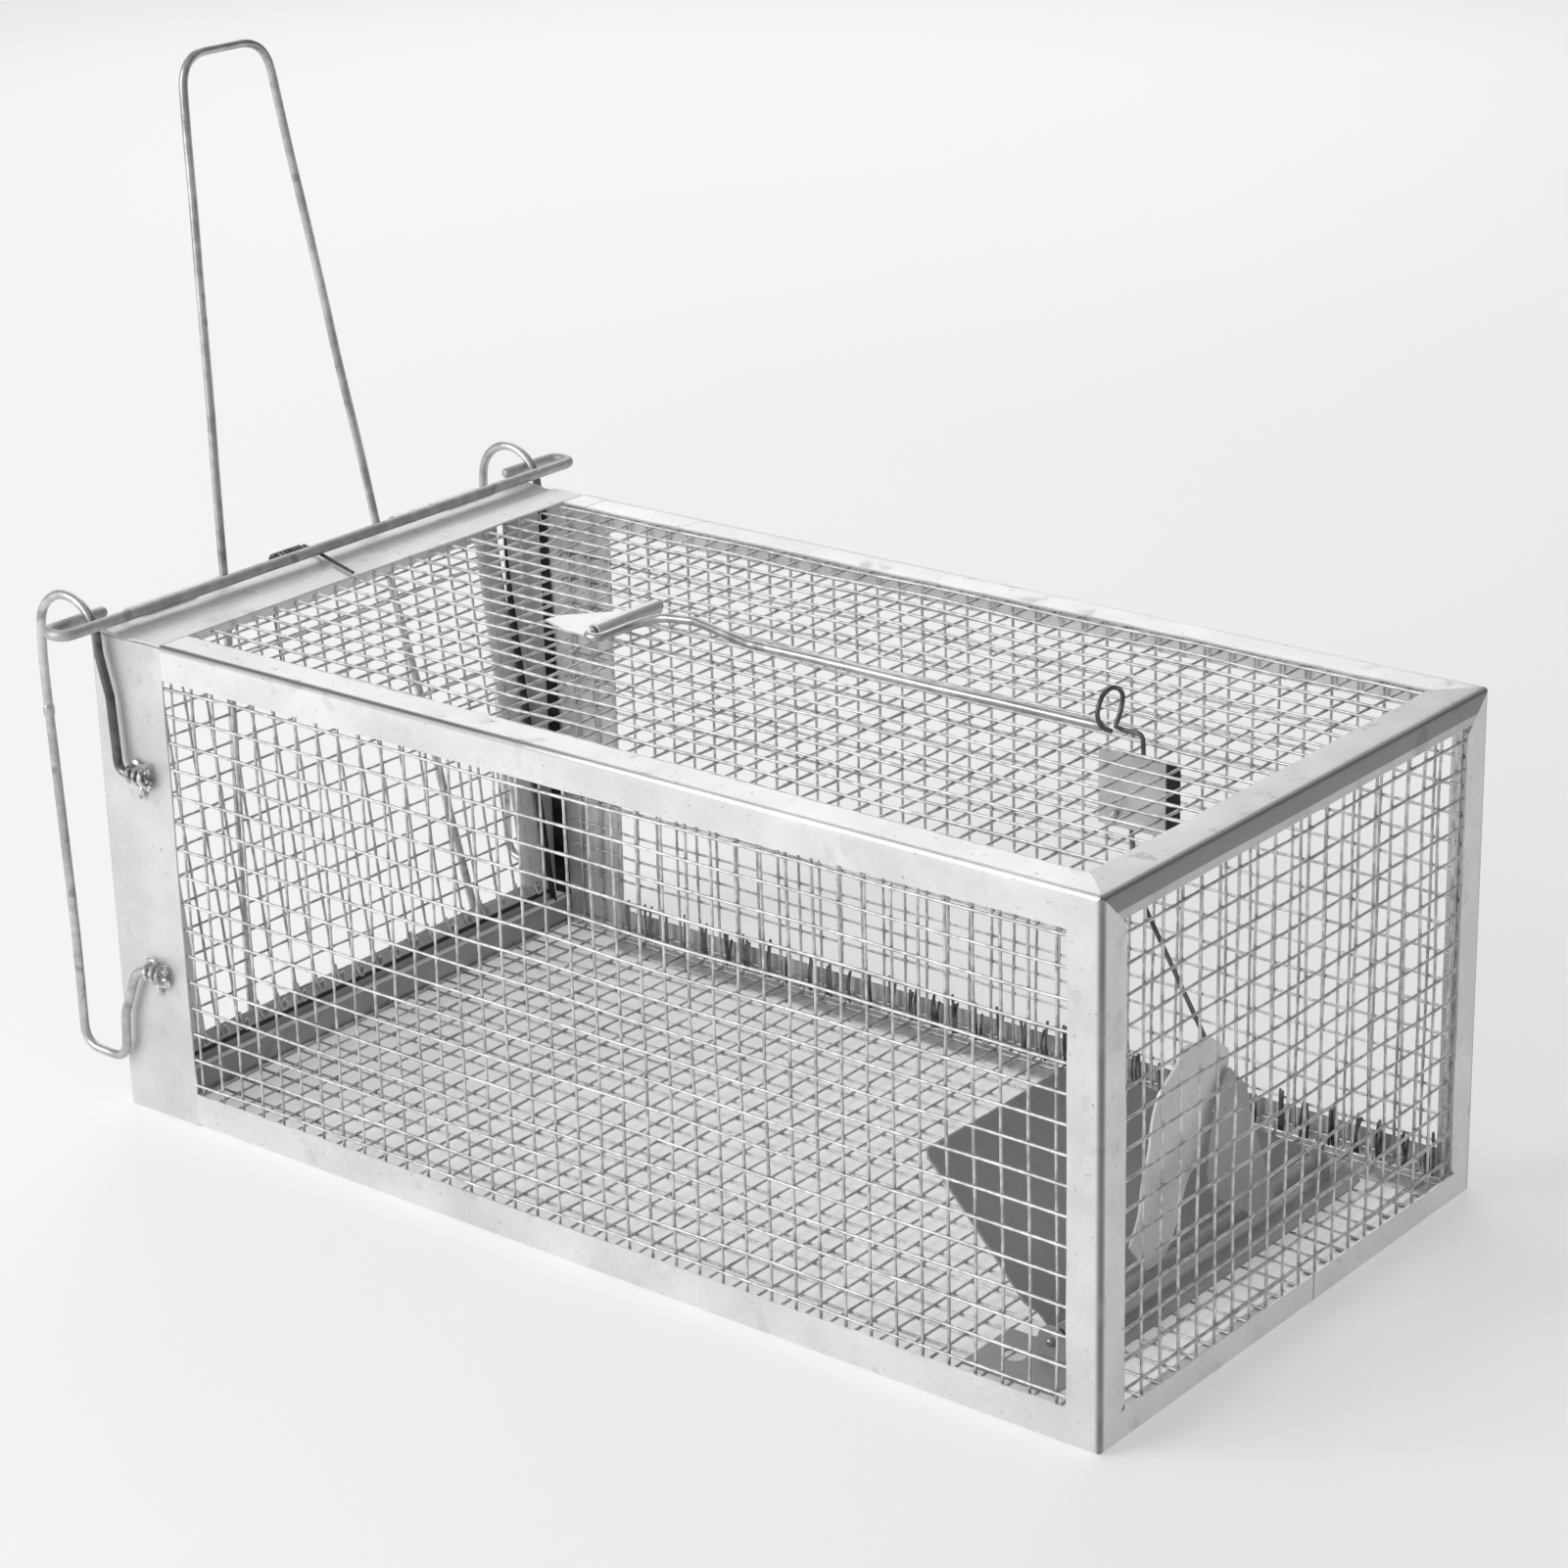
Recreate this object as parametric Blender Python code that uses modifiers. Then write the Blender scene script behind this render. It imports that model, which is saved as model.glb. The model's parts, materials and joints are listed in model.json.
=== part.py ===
"""Live catch trap: a mesh cage with a sprung drop door, lock bar, trigger rod and bait pedal.

All numbers below are millimetres and degrees, and the helpers turn them into metres.
x runs from the doorway (0) to the closed end, y from the near side to the far side with 0
on the centre line, and z up from the floor. The pivots shift everything by MIDDLE_X, so
that the whole trap is centred on the origin.
"""

import math

import bmesh
import bpy
from mathutils import Matrix, Vector

MM = 0.001

# Cage
LENGTH = 270.0
WIDTH = 140.0
HEIGHT = 115.0
HALF = WIDTH / 2
SHEET = 0.5
GAP = 0.3
MIDDLE_X = 125.267        # x of the middle of the whole trap, from the front plates

# Folded strips along the cage's edges
STRIP = 8.0
TOP_STRIP_IN = 8.5
END_TOP_DROP = 6.5
END_TOP_IN = 9.2
END_BOTTOM_RISE = 6.5
NEAR_PLATE = 22.5
FAR_PLATE = 30.0
PLATE_LIP = 6.0
TOP_PLATE_FRONT = 1.9
TOP_PLATE_BACK = 22.5
TOP_PLATE_LIP = 5.0
SILL_FRONT = 1.0
SILL_BACK = 12.2
SILL_LIP = 8.6

# Wire netting, made with wide cells that stand for the fine ones
MESH_WIRE = 0.9
MESH_INSET = SHEET + GAP + MESH_WIRE / 2
MESH_CELL = 25.4
MESH_BORDER = 3.5         # how far the netting's edge stays inside the cage's corner

# Door, hinged along y under the front edge of the top plate
HINGE_X = -1.6
HINGE_Z = 113.9
DOOR_TILT = 7.0
DOOR_HALF = 62.5
DOOR_DROP_TOP = 3.3
DOOR_DROP_BOTTOM = 108.2
DOOR_BORDER = 8.0
DOOR_PLANE = 0.65         # netting's distance outside the hinge axis
DOOR_THICK = 1.2
PIN_R = 0.9
PIN_HALF = 57.6
KNUCKLE_R = 1.5
HANDLE_D = 2.0
HANDLE_OUT = 2.6
HANDLE_TOP = 117.3
HANDLE_FOOT_Y = 38.6
HANDLE_WAIST_Y = 25.0
HANDLE_CROWN_Y = 12.8
SPRING_D = 0.8
SPRING_R = 2.2
SPRING_TURNS = 8

# Guide wires beside the door, and the lock bar that hooks round them
GUIDE_D = 2.1
GUIDE_Y = 72.0
ARCH_X = -4.2
ARCH_Z = 113.2
ARCH_R = 9.0
BAR_D = 2.6
BAR_Z = 117.5
BAR_ORBIT = 11.7
HOOK_ORBIT = 6.3
HOOK_END = 83.0
HOOK_TAIL = 65.0
STRAP_UPPER_Z = 83.6
STRAP_LOWER_Z = 36.0

# Trigger rod on the roof
ROD_D = 2.0
CLIP_Z = 115.0
ROD_AXIS_X = 97.3
ROD_AXIS_Z = CLIP_Z + KNUCKLE_R
ROD_TIP_X = 223.4

# Catch lever and its bracket under the roof
LEVER_D = 1.0
CATCH_X = 226.5
CATCH_Z = 100.0
LOOP_X = 225.3
BRACKET_Y = -1.4
LEVER_Y = 0.3
EYE_R = 1.45

# Bait pedal
PEDAL_X = 243.2
PEDAL_Z = 6.6
PEDAL_SHEET = 0.6
PEDAL_PIN_R = 1.0
SLEEVE_R = 1.6
TREAD_RISE = 46.6
ARM_LEAN = 6.3
LEAF_X = 248.8
BASE_Z = 2.2
FOOT_Z = BASE_Z + SHEET / 2 + GAP

COLOURS = {
    "bright_sheet": ((0.80, 0.81, 0.82), 0.34, 0.85),
    "dull_sheet": ((0.66, 0.67, 0.68), 0.42, 0.85),
    "pedal_grey": ((0.23, 0.23, 0.235), 0.55, 0.4),
    "netting": ((0.62, 0.63, 0.64), 0.38, 0.9),
    "wire": ((0.55, 0.56, 0.57), 0.32, 0.95),
    "spring_steel": ((0.42, 0.43, 0.45), 0.3, 1.0),
}

PIVOTS = {
    "cage": (0.0, 0.0, 0.0),
    "door": (HINGE_X, 0.0, HINGE_Z),
    "lock_bar": (ARCH_X, 0.0, ARCH_Z),
    "trigger_rod": (ROD_AXIS_X, 0.0, ROD_AXIS_Z),
    "catch": (CATCH_X, 0.0, CATCH_Z),
    "pedal": (PEDAL_X, 0.0, PEDAL_Z),
}


# ---------------------------------------------------------------- scene and materials

def new_collection(name):
    collection = bpy.data.collections.new(name)
    bpy.context.scene.collection.children.link(collection)
    return collection


def clear_scene():
    for obj in list(bpy.data.objects):
        bpy.data.objects.remove(obj, do_unlink=True)
    for collection in list(bpy.data.collections):
        bpy.data.collections.remove(collection)


def material(name):
    found = bpy.data.materials.get(name)
    if found:
        return found
    colour, roughness, metallic = COLOURS[name]
    made = bpy.data.materials.new(name)
    made.use_nodes = True
    shader = made.node_tree.nodes["Principled BSDF"]
    shader.inputs["Base Color"].default_value = (*colour, 1.0)
    shader.inputs["Roughness"].default_value = roughness
    shader.inputs["Metallic"].default_value = metallic
    return made


def make_pivots():
    """One empty on each joint's axis. Everything hangs from one of them."""
    pivots = {}
    for name, (x, y, z) in PIVOTS.items():
        pivot = bpy.data.objects.new(name + "_pivot", None)
        pivot.location = Vector((x - MIDDLE_X, y, z)) * MM
        TRAP.objects.link(pivot)
        pivots[name] = pivot
    return pivots


def place(obj, body, finish):
    """Gives a piece its material and hangs it, drawn in cage coordinates, from its pivot."""
    if obj.name not in TRAP.objects:
        TRAP.objects.link(obj)
    obj.data.materials.clear()
    obj.data.materials.append(material(finish))
    obj.parent = PIVOT[body]
    obj.location = -Vector(PIVOTS[body]) * MM
    return obj


# ---------------------------------------------------------------- shape helpers

def object_from(bm, name):
    mesh = bpy.data.meshes.new(name)
    bm.to_mesh(mesh)
    bm.free()
    return bpy.data.objects.new(name, mesh)


def solidify(obj, thickness=SHEET):
    shell = obj.modifiers.new("thickness", "SOLIDIFY")
    shell.thickness = thickness * MM
    shell.offset = 0.0
    shell.use_even_offset = True
    return obj


def folded(name, profile, start, end, axis, thickness=SHEET, ends=None):
    """Sheet folded along one axis: profile points lie across it, in the other two axes' order.

    ends, where given, holds for each profile point how far both ends are cut back, which
    makes a mitred strip.
    """
    bm = bmesh.new()
    others = [k for k in range(3) if k != axis]

    def point(pair, along):
        co = [0.0, 0.0, 0.0]
        co[axis] = along
        co[others[0]], co[others[1]] = pair
        return Vector(co) * MM

    cuts = ends or [(0.0, 0.0)] * len(profile)
    first = [bm.verts.new(point(p, start + c[0])) for p, c in zip(profile, cuts)]
    edges = [bm.edges.new(pair) for pair in zip(first, first[1:])]
    grown = bmesh.ops.extrude_edge_only(bm, edges=edges)["geom"]
    last = [v for v in grown if isinstance(v, bmesh.types.BMVert)]
    for vert in last:
        match = min(range(len(first)), key=lambda k: (first[k].co - vert.co).length)
        vert.co = point(profile[match], end - cuts[match][1])
    bmesh.ops.recalc_face_normals(bm, faces=bm.faces)
    return solidify(object_from(bm, name), thickness)


def plate(name, outline, origin, across, up, thickness=SHEET, holes=()):
    """Flat sheet from an outline in its own plane, with round holes as (u, v, radius)."""
    curve = bpy.data.curves.new(name, "CURVE")
    curve.dimensions = "2D"
    curve.fill_mode = "BOTH"
    curve.extrude = thickness / 2 * MM
    loops = [list(outline)]
    for u, v, radius in holes:
        loops.append([(u + radius * math.cos(a), v + radius * math.sin(a))
                      for a in (k * math.tau / 12 for k in range(12))])
    for loop in loops:
        spline = curve.splines.new("POLY")
        spline.points.add(len(loop) - 1)
        for target, (u, v) in zip(spline.points, loop):
            target.co = (u * MM, v * MM, 0.0, 1.0)
        spline.use_cyclic_u = True
    across, up = Vector(across).normalized(), Vector(up).normalized()
    frame = Matrix((across, up, across.cross(up))).transposed().to_4x4()
    frame.translation = Vector(origin) * MM
    return meshed(bpy.data.objects.new(name, curve), frame)


def meshed(obj, frame=Matrix()):
    """Turns a curve object into a welded mesh object drawn in cage coordinates."""
    name = obj.name
    TRAP.objects.link(obj)
    graph = bpy.context.evaluated_depsgraph_get()
    mesh = bpy.data.meshes.new_from_object(obj.evaluated_get(graph))
    bm = bmesh.new()
    bm.from_mesh(mesh)
    bmesh.ops.remove_doubles(bm, verts=bm.verts, dist=0.01 * MM)
    bmesh.ops.transform(bm, matrix=frame, verts=bm.verts)
    bmesh.ops.recalc_face_normals(bm, faces=bm.faces)
    bm.to_mesh(mesh)
    bm.free()
    bpy.data.objects.remove(obj, do_unlink=True)
    mesh.name = name
    return bpy.data.objects.new(name, mesh)


def wire(name, points, diameter, resolution=2):
    """Round wire along a run of points."""
    curve = bpy.data.curves.new(name, "CURVE")
    curve.dimensions = "3D"
    curve.bevel_depth = diameter / 2 * MM
    curve.bevel_resolution = resolution
    curve.use_fill_caps = True
    spline = curve.splines.new("POLY")
    spline.points.add(len(points) - 1)
    for target, point in zip(spline.points, points):
        target.co = (*(Vector(point) * MM), 1.0)
    return meshed(bpy.data.objects.new(name, curve))


def rounded(points, radius, steps=4):
    """The same run of points with each inner corner rounded off."""
    points = [Vector(p) for p in points]
    run = [points[0]]
    for before, corner, after in zip(points, points[1:], points[2:]):
        back, ahead = before - corner, after - corner
        turn = math.pi - back.angle(ahead)
        reach = radius * math.tan(turn / 2)
        reach = min(reach, back.length * 0.48, ahead.length * 0.48)
        a = corner + back.normalized() * reach
        b = corner + ahead.normalized() * reach
        for k in range(steps + 1):
            t = k / steps
            run.append(a * (1 - t) ** 2 + corner * 2 * t * (1 - t) + b * t * t)
    run.append(points[-1])
    return run


def netting(name, corner, u_side, v_side, cell=MESH_CELL):
    """Open wire grid between a corner and the corners along its two sides."""
    corner, u_side, v_side = Vector(corner), Vector(u_side), Vector(v_side)
    columns = max(1, round(u_side.length / cell))
    rows = max(1, round(v_side.length / cell))
    bm = bmesh.new()
    bmesh.ops.create_grid(bm, x_segments=columns, y_segments=rows, size=0.5)
    normal = u_side.cross(v_side).normalized()
    frame = Matrix((u_side, v_side, normal)).transposed().to_4x4()
    frame.translation = corner + (u_side + v_side) / 2
    bmesh.ops.transform(bm, matrix=Matrix.Scale(MM, 4) @ frame, verts=bm.verts)
    obj = object_from(bm, name)
    wires = obj.modifiers.new("wires", "WIREFRAME")
    wires.thickness = MESH_WIRE * MM
    wires.offset = 0.0
    wires.use_even_offset = True
    wires.use_boundary = True
    wires.use_replace = True
    return obj


def cylinder(name, centre, radius, length, segments=16, capped=True):
    """Cylinder along y."""
    bm = bmesh.new()
    bmesh.ops.create_cone(bm, cap_ends=capped, segments=segments, radius1=radius * MM,
                          radius2=radius * MM, depth=length * MM)
    turn = Matrix.Translation(Vector(centre) * MM) @ Matrix.Rotation(math.pi / 2, 4, "X")
    bmesh.ops.transform(bm, matrix=turn, verts=bm.verts)
    return object_from(bm, name)


def arc(x, z, radius, start, end, steps):
    """Points on an arc in the x-z plane, angles in degrees from +x towards +z."""
    angles = [math.radians(start + (end - start) * k / steps) for k in range(steps + 1)]
    return [(x + radius * math.cos(a), z + radius * math.sin(a)) for a in angles]


def use_cutter(obj, cutter, operation):
    CUTTERS.objects.link(cutter)
    cutter.hide_render = True
    cutter.display_type = "WIRE"
    cutter.location = obj.location
    cutter.parent = obj.parent
    cut = obj.modifiers.new(operation.lower(), "BOOLEAN")
    cut.operation = operation
    cut.solver = "EXACT"
    cut.object = cutter


# ---------------------------------------------------------------- cage frame

def angle_strip(name, axis, corner, flanges, start, end, mitre=(True, True)):
    """L-shaped strip along a cage edge. flanges holds the signed width of its two sides."""
    half = SHEET / 2
    fold = [c + math.copysign(half, f) for c, f in zip(corner, flanges)]
    profile = [(corner[0] + flanges[0], fold[1]), fold, (fold[0], corner[1] + flanges[1])]
    reach = [abs(flanges[0]) + GAP, half + GAP, abs(flanges[1]) + GAP]
    cuts = [(r if mitre[0] else 0.0, r if mitre[1] else 0.0) for r in reach]
    return folded(name, profile, start, end, axis, ends=cuts)


def edge_strips():
    """Four long strips, two rear posts and the rear strips, meeting at mitred corners."""
    for side, sign, front in (("near", -1, NEAR_PLATE), ("far", 1, FAR_PLATE)):
        wall = sign * HALF
        inward = -sign
        start = front + GAP
        place(angle_strip("top_strip_" + side, 0, (wall, HEIGHT), (inward * TOP_STRIP_IN, -STRIP),
                          start, LENGTH, (False, True)), "cage", "bright_sheet")
        place(angle_strip("bottom_strip_" + side, 0, (wall, 0.0), (inward * STRIP, STRIP),
                          start, LENGTH, (False, True)), "cage", "bright_sheet")
        place(angle_strip("rear_post_" + side, 2, (LENGTH, wall), (-STRIP, inward * STRIP),
                          0.0, HEIGHT), "cage", "bright_sheet")
    place(angle_strip("rear_strip_top", 1, (LENGTH, HEIGHT), (-END_TOP_IN, -END_TOP_DROP),
                      -HALF, HALF), "cage", "dull_sheet")
    place(angle_strip("rear_strip_bottom", 1, (LENGTH, 0.0), (-STRIP, END_BOTTOM_RISE),
                      -HALF, HALF), "cage", "bright_sheet")


def front_plates():
    """Side plates beside the doorway, each with a lip folded across the front."""
    for side, sign, front in (("near", -1, NEAR_PLATE), ("far", 1, FAR_PLATE)):
        wall = sign * (HALF - SHEET / 2)
        profile = [(front, wall), (SHEET / 2, wall), (SHEET / 2, wall - sign * PLATE_LIP)]
        place(folded("front_plate_" + side, profile, 0.0, HEIGHT - SHEET - GAP, 2),
              "cage", "bright_sheet")


def top_plate():
    """Plate over the doorway, with a lip folded down behind the hinge."""
    top = HEIGHT - SHEET / 2
    profile = [(TOP_PLATE_BACK, top), (TOP_PLATE_FRONT, top),
               (TOP_PLATE_FRONT, top - TOP_PLATE_LIP)]
    place(folded("front_top_plate", profile, SHEET - HALF, HALF - SHEET, 1), "cage",
          "bright_sheet")


def sill():
    """Door sill: a floor strip with an upright lip that the closed door rests against."""
    profile = [(SILL_FRONT, SHEET / 2), (SILL_BACK, SHEET / 2), (SILL_BACK, SILL_LIP)]
    end = HALF - SHEET - GAP
    place(folded("door_sill", profile, -end, end, 1), "cage", "dull_sheet")


def cage_netting():
    """Netting tucked inside the folded strips."""
    roof = HEIGHT - MESH_INSET
    wall = HALF - MESH_INSET
    side = HALF - MESH_BORDER
    back = LENGTH - MESH_BORDER
    low, tall = 3.0, HEIGHT - 6.0
    for name, z, front in (("netting_top", roof, TOP_PLATE_BACK + 0.6),
                           ("netting_bottom", MESH_INSET, SILL_BACK + 1.0)):
        place(netting(name, (front, -side, z), (back - front, 0, 0), (0, 2 * side, 0)),
              "cage", "netting")
    front = 16.0
    for name, y in (("netting_near", -wall), ("netting_far", wall)):
        place(netting(name, (front, y, low), (back - front, 0, 0), (0, 0, tall)),
              "cage", "netting")
    place(netting("netting_rear", (LENGTH - MESH_INSET, -side, low), (0, 2 * side, 0),
                  (0, 0, tall)), "cage", "netting")


# ---------------------------------------------------------------- hinge, spring and guides

def hinge():
    """Hinge pin, and the curled knuckles that hold it to the top plate."""
    place(cylinder("hinge_pin", (HINGE_X, 0, HINGE_Z), PIN_R, 2 * PIN_HALF, 12),
          "cage", "wire")
    curl = arc(HINGE_X, HINGE_Z, KNUCKLE_R, 350, 90, 9)
    profile = curl + [(4.0, HINGE_Z + KNUCKLE_R)]
    for side, sign in (("near", -1), ("far", 1)):
        ends = sorted((sign * 41.0, sign * 57.0))
        place(folded("hinge_knuckle_" + side, profile, *ends, 1), "cage", "bright_sheet")


def torsion_spring():
    """Closing spring: its coil is round the pin and its fixed arm lies on the top plate."""
    pitch, steps, first_y, arm_z = 1.15, 10, -11.0, 115.6
    coil = []
    for k in range(SPRING_TURNS * steps + 1):
        angle = math.radians(90) - k * math.tau / steps
        coil.append((HINGE_X - SPRING_R * math.cos(angle), first_y + pitch * k / steps,
                     HINGE_Z + SPRING_R * math.sin(angle)))
    last_y = first_y + pitch * SPRING_TURNS
    arm = [(2.0, last_y - 0.5, arm_z), (22.0, -9.4, arm_z)]
    place(wire("torsion_spring", coil + arm, SPRING_D, 1), "cage", "spring_steel")


def guide_wires():
    """Bent wire guide on each front plate, arched over the top corner."""
    arch = arc(ARCH_X, ARCH_Z, ARCH_R, 0, 180, 12)
    up = rounded([(15.2, 0, STRAP_UPPER_Z), (8.4, 0, STRAP_UPPER_Z), (7.6, 0, 101.0),
                  (5.0, 0, 110.5)], 3.0)
    down = rounded([(-13.6, 0, 106.0), (-13.4, 0, 93.5), (-11.4, 0, 40.0), (-11.2, 0, 12.4),
                    (2.6, 0, 12.2), (3.4, 0, 24.0), (8.4, 0, STRAP_LOWER_Z),
                    (15.2, 0, STRAP_LOWER_Z)], 5.0)
    run = [(p.x, p.z) for p in up] + arch + [(p.x, p.z) for p in down]
    for side, sign in (("near", -1), ("far", 1)):
        points = [(x, sign * GUIDE_Y, z) for x, z in run]
        place(wire("guide_wire_" + side, points, GUIDE_D), "cage", "wire")
        for level, height in (("upper", STRAP_UPPER_Z), ("lower", STRAP_LOWER_Z)):
            place(guide_strap("guide_strap_%s_%s" % (level, side), sign, height),
                  "cage", "bright_sheet")


def guide_strap(name, sign, height):
    """Small strap that clamps a guide wire's end to the front plate."""
    flat, proud = HALF + SHEET / 2 + 0.15, GUIDE_Y + GUIDE_D / 2 + 0.45
    half = GUIDE_D / 2 + 0.75
    profile = [(flat, -half - 2.0), (flat, -half), (proud, -half + 0.2),
               (proud, half - 0.2), (flat, half), (flat, half + 2.0)]
    return folded(name, [(sign * y, height + z) for y, z in profile], 10.4, 14.2, 0)


def lock_bar():
    """Straight bar across the top plate, its ends hooked closed round the guide wires."""
    rise = BAR_Z - ARCH_Z
    front = ARCH_X + math.sqrt(HOOK_ORBIT ** 2 - rise ** 2)
    back = ARCH_X + math.sqrt(BAR_ORBIT ** 2 - rise ** 2)
    run = [(front, -HOOK_TAIL, BAR_Z), (front, -HOOK_END, BAR_Z), (back, -HOOK_END, BAR_Z),
           (back, HOOK_END, BAR_Z), (front, HOOK_END, BAR_Z), (front, HOOK_TAIL, BAR_Z)]
    place(wire("lock_bar", rounded(run, (back - front) / 2, 6), BAR_D), "lock_bar", "wire")


# ---------------------------------------------------------------- door

def door_point(y, drop, out):
    """Point on the tilted door: drop below the hinge axis, out in front of it."""
    tilt = math.radians(DOOR_TILT)
    return (HINGE_X + drop * math.sin(tilt) - out * math.cos(tilt), y,
            HINGE_Z - drop * math.cos(tilt) - out * math.sin(tilt))


def door_bar(name, y_low, y_high, drop_low, drop_high):
    """Flat border strip folded double over the netting's edge."""
    tilt = math.radians(DOOR_TILT)
    outline = [(y_low, -drop_high), (y_high, -drop_high), (y_high, -drop_low),
               (y_low, -drop_low)]
    return plate(name, outline, door_point(0, 0, DOOR_PLANE), (0, 1, 0),
                 (-math.sin(tilt), 0, math.cos(tilt)), DOOR_THICK)


def door():
    top, bottom, edge = DOOR_DROP_TOP, DOOR_DROP_BOTTOM, DOOR_BORDER
    inner_top, inner_bottom = top + edge + GAP, bottom - edge - GAP
    inner = DOOR_HALF - edge - GAP
    place(door_bar("door_strip_top", -DOOR_HALF, DOOR_HALF, top, top + edge), "door",
          "bright_sheet")
    place(door_bar("door_strip_bottom", -DOOR_HALF, DOOR_HALF, bottom - edge, bottom), "door",
          "dull_sheet")
    for side, sign in (("near", -1), ("far", 1)):
        ends = sorted((sign * DOOR_HALF, sign * (DOOR_HALF - edge)))
        place(door_bar("door_strip_" + side, *ends, inner_top, inner_bottom), "door",
              "bright_sheet")
    corner = Vector(door_point(-inner + 0.5, inner_bottom - 0.5, DOOR_PLANE))
    across = Vector(door_point(inner - 0.5, inner_bottom - 0.5, DOOR_PLANE)) - corner
    up = Vector(door_point(-inner + 0.5, inner_top + 0.5, DOOR_PLANE)) - corner
    place(netting("door_netting", corner, across, up), "door", "netting")
    door_knuckles()
    handle()


def door_knuckles():
    """Curled straps that hang the door on the pin."""
    curl = arc(HINGE_X, HINGE_Z, KNUCKLE_R, -20, 180, 7)
    tail = [door_point(0, drop, 1.85) for drop in (2.8, 8.5)]
    profile = curl + [(p[0], p[2]) for p in tail]
    for side, sign in (("near", -1), ("far", 1)):
        ends = sorted((sign * 28.0, sign * 39.5))
        place(folded("door_knuckle_" + side, profile, *ends, 1), "door", "bright_sheet")
    arm = [door_point(-12.0, 3.4, 2.1), door_point(-12.0, 24.0, 2.1)]
    place(wire("spring_door_arm", arm, SPRING_D, 1), "door", "spring_steel")


def handle():
    """Long wire handle: its legs run down the door's outside and close in an arch on top."""
    left = [door_point(-HANDLE_FOOT_Y, DOOR_DROP_BOTTOM - 3.0, HANDLE_OUT),
            door_point(-HANDLE_WAIST_Y, 0.0, HANDLE_OUT),
            door_point(-HANDLE_CROWN_Y, -HANDLE_TOP, HANDLE_OUT)]
    right = [(x, -y, z) for x, y, z in reversed(left)]
    place(wire("door_handle", rounded(left + right, 8.5, 6), HANDLE_D), "door", "wire")


# ---------------------------------------------------------------- trigger and catch

def trigger_clip():
    """Pointed plate on the roof whose front edge is curled round the trigger rod."""
    curl = arc(ROD_AXIS_X, ROD_AXIS_Z, KNUCKLE_R, 270, 520, 9)
    profile = [(80.0, CLIP_Z)] + curl
    clip = place(folded("trigger_clip", profile, -12.0, 9.0, 1), "cage", "bright_sheet")
    outline = [(80.6, -11.4), (92.5, -13.0), (101.0, -13.0), (101.0, 10.0), (90.0, 10.0),
               (81.0, 5.0)]
    use_cutter(clip, plate("clip_outline", outline, (0, 0, CLIP_Z), (1, 0, 0), (0, 1, 0), 12.0),
               "INTERSECT")


def trigger_rod():
    """Rod that lies along the roof: axle in the clip, a tight return bend, then a long arm."""
    low = ROD_AXIS_Z - 0.1
    run = [(ROD_AXIS_X, 10.5, ROD_AXIS_Z), (ROD_AXIS_X, -14.6, ROD_AXIS_Z),
           (ROD_AXIS_X + 3.4, -14.6, low), (ROD_AXIS_X + 3.6, -3.0, low),
           (106.0, 0.6, low + 1.6), (115.0, 0.6, low + 2.4), (133.0, -2.4, 117.9),
           (ROD_TIP_X, -1.8, 117.9)]
    place(wire("trigger_rod", rounded(run, 6.0), ROD_D), "trigger_rod", "wire")


def catch_bracket():
    """Small plate under the roof with a slanted end flange; it carries the catch's pin."""
    profile = [(222.0, BRACKET_Y), (238.0, BRACKET_Y), (240.6, BRACKET_Y + 1.7)]
    bracket = place(folded("catch_bracket", profile, 97.2, 112.9, 2), "cage", "dull_sheet")
    hole = cylinder("catch_hole", (CATCH_X, BRACKET_Y, CATCH_Z), 0.95, 4.0, 12)
    use_cutter(bracket, hole, "DIFFERENCE")
    place(cylinder("catch_pin", (CATCH_X, 0.2, CATCH_Z), 0.6, 7.0, 10), "cage", "wire")


def catch_lever():
    """One thin wire: a teardrop loop over the rod's tip, an eye on the pin and a long tail."""
    loop = [(-1.8, 117.2), (-5.4, 119.4), (-6.8, 122.6), (-4.9, 125.8), (-1.2, 126.3),
            (1.8, 124.3), (1.5, 121.0), (-0.5, 117.9)]
    head = [(LOOP_X, y, z) for y, z in loop]
    stem = [(226.6, LEVER_Y, 117.2), (231.3, LEVER_Y, 117.3), (231.6, LEVER_Y, 112.5)]
    turns, pitch, steps = [], 1.25, 10
    for k in range(steps + 2):
        angle = math.radians(20) + k * math.tau / steps
        turns.append((CATCH_X + EYE_R * math.cos(angle), LEVER_Y + pitch * k / steps,
                      CATCH_Z + EYE_R * math.sin(angle)))
    tail = [(229.4, 1.6, 83.0), (246.6, 1.2, 54.6)]
    run = rounded(head + stem, 2.2, 3) + turns + tail
    place(wire("catch_lever", run, LEVER_D, 1), "catch", "spring_steel")


# ---------------------------------------------------------------- pedal

def pedal_base():
    """Floor strip with a foot and two ears that hold the pedal's pin."""
    outline = [(229.0, -59.0), (251.5, -59.0), (251.5, 55.0), (249.5, 60.0), (244.0, 60.5),
               (240.0, 56.0), (240.0, -42.0), (229.0, -42.0)]
    place(plate("pedal_base", outline, (0, 0, BASE_Z), (1, 0, 0), (0, 1, 0), SHEET,
                [(236.0, -50.5, 2.6)]), "cage", "dull_sheet")
    ear = [(-3.4, FOOT_Z), (3.4, FOOT_Z), (3.4, 8.0), (1.8, 9.8), (-1.8, 9.8), (-3.4, 8.0)]
    for side, y in (("near", -47.6), ("far", 51.0)):
        place(plate("pedal_ear_" + side, ear, (PEDAL_X, y, 0), (1, 0, 0), (0, 0, 1), SHEET,
                    [(0.0, PEDAL_Z, PEDAL_PIN_R + GAP)]), "cage", "dull_sheet")
    place(cylinder("pedal_pin", (PEDAL_X, 1.7, PEDAL_Z), PEDAL_PIN_R, 101.8, 12), "cage",
          "wire")


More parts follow.
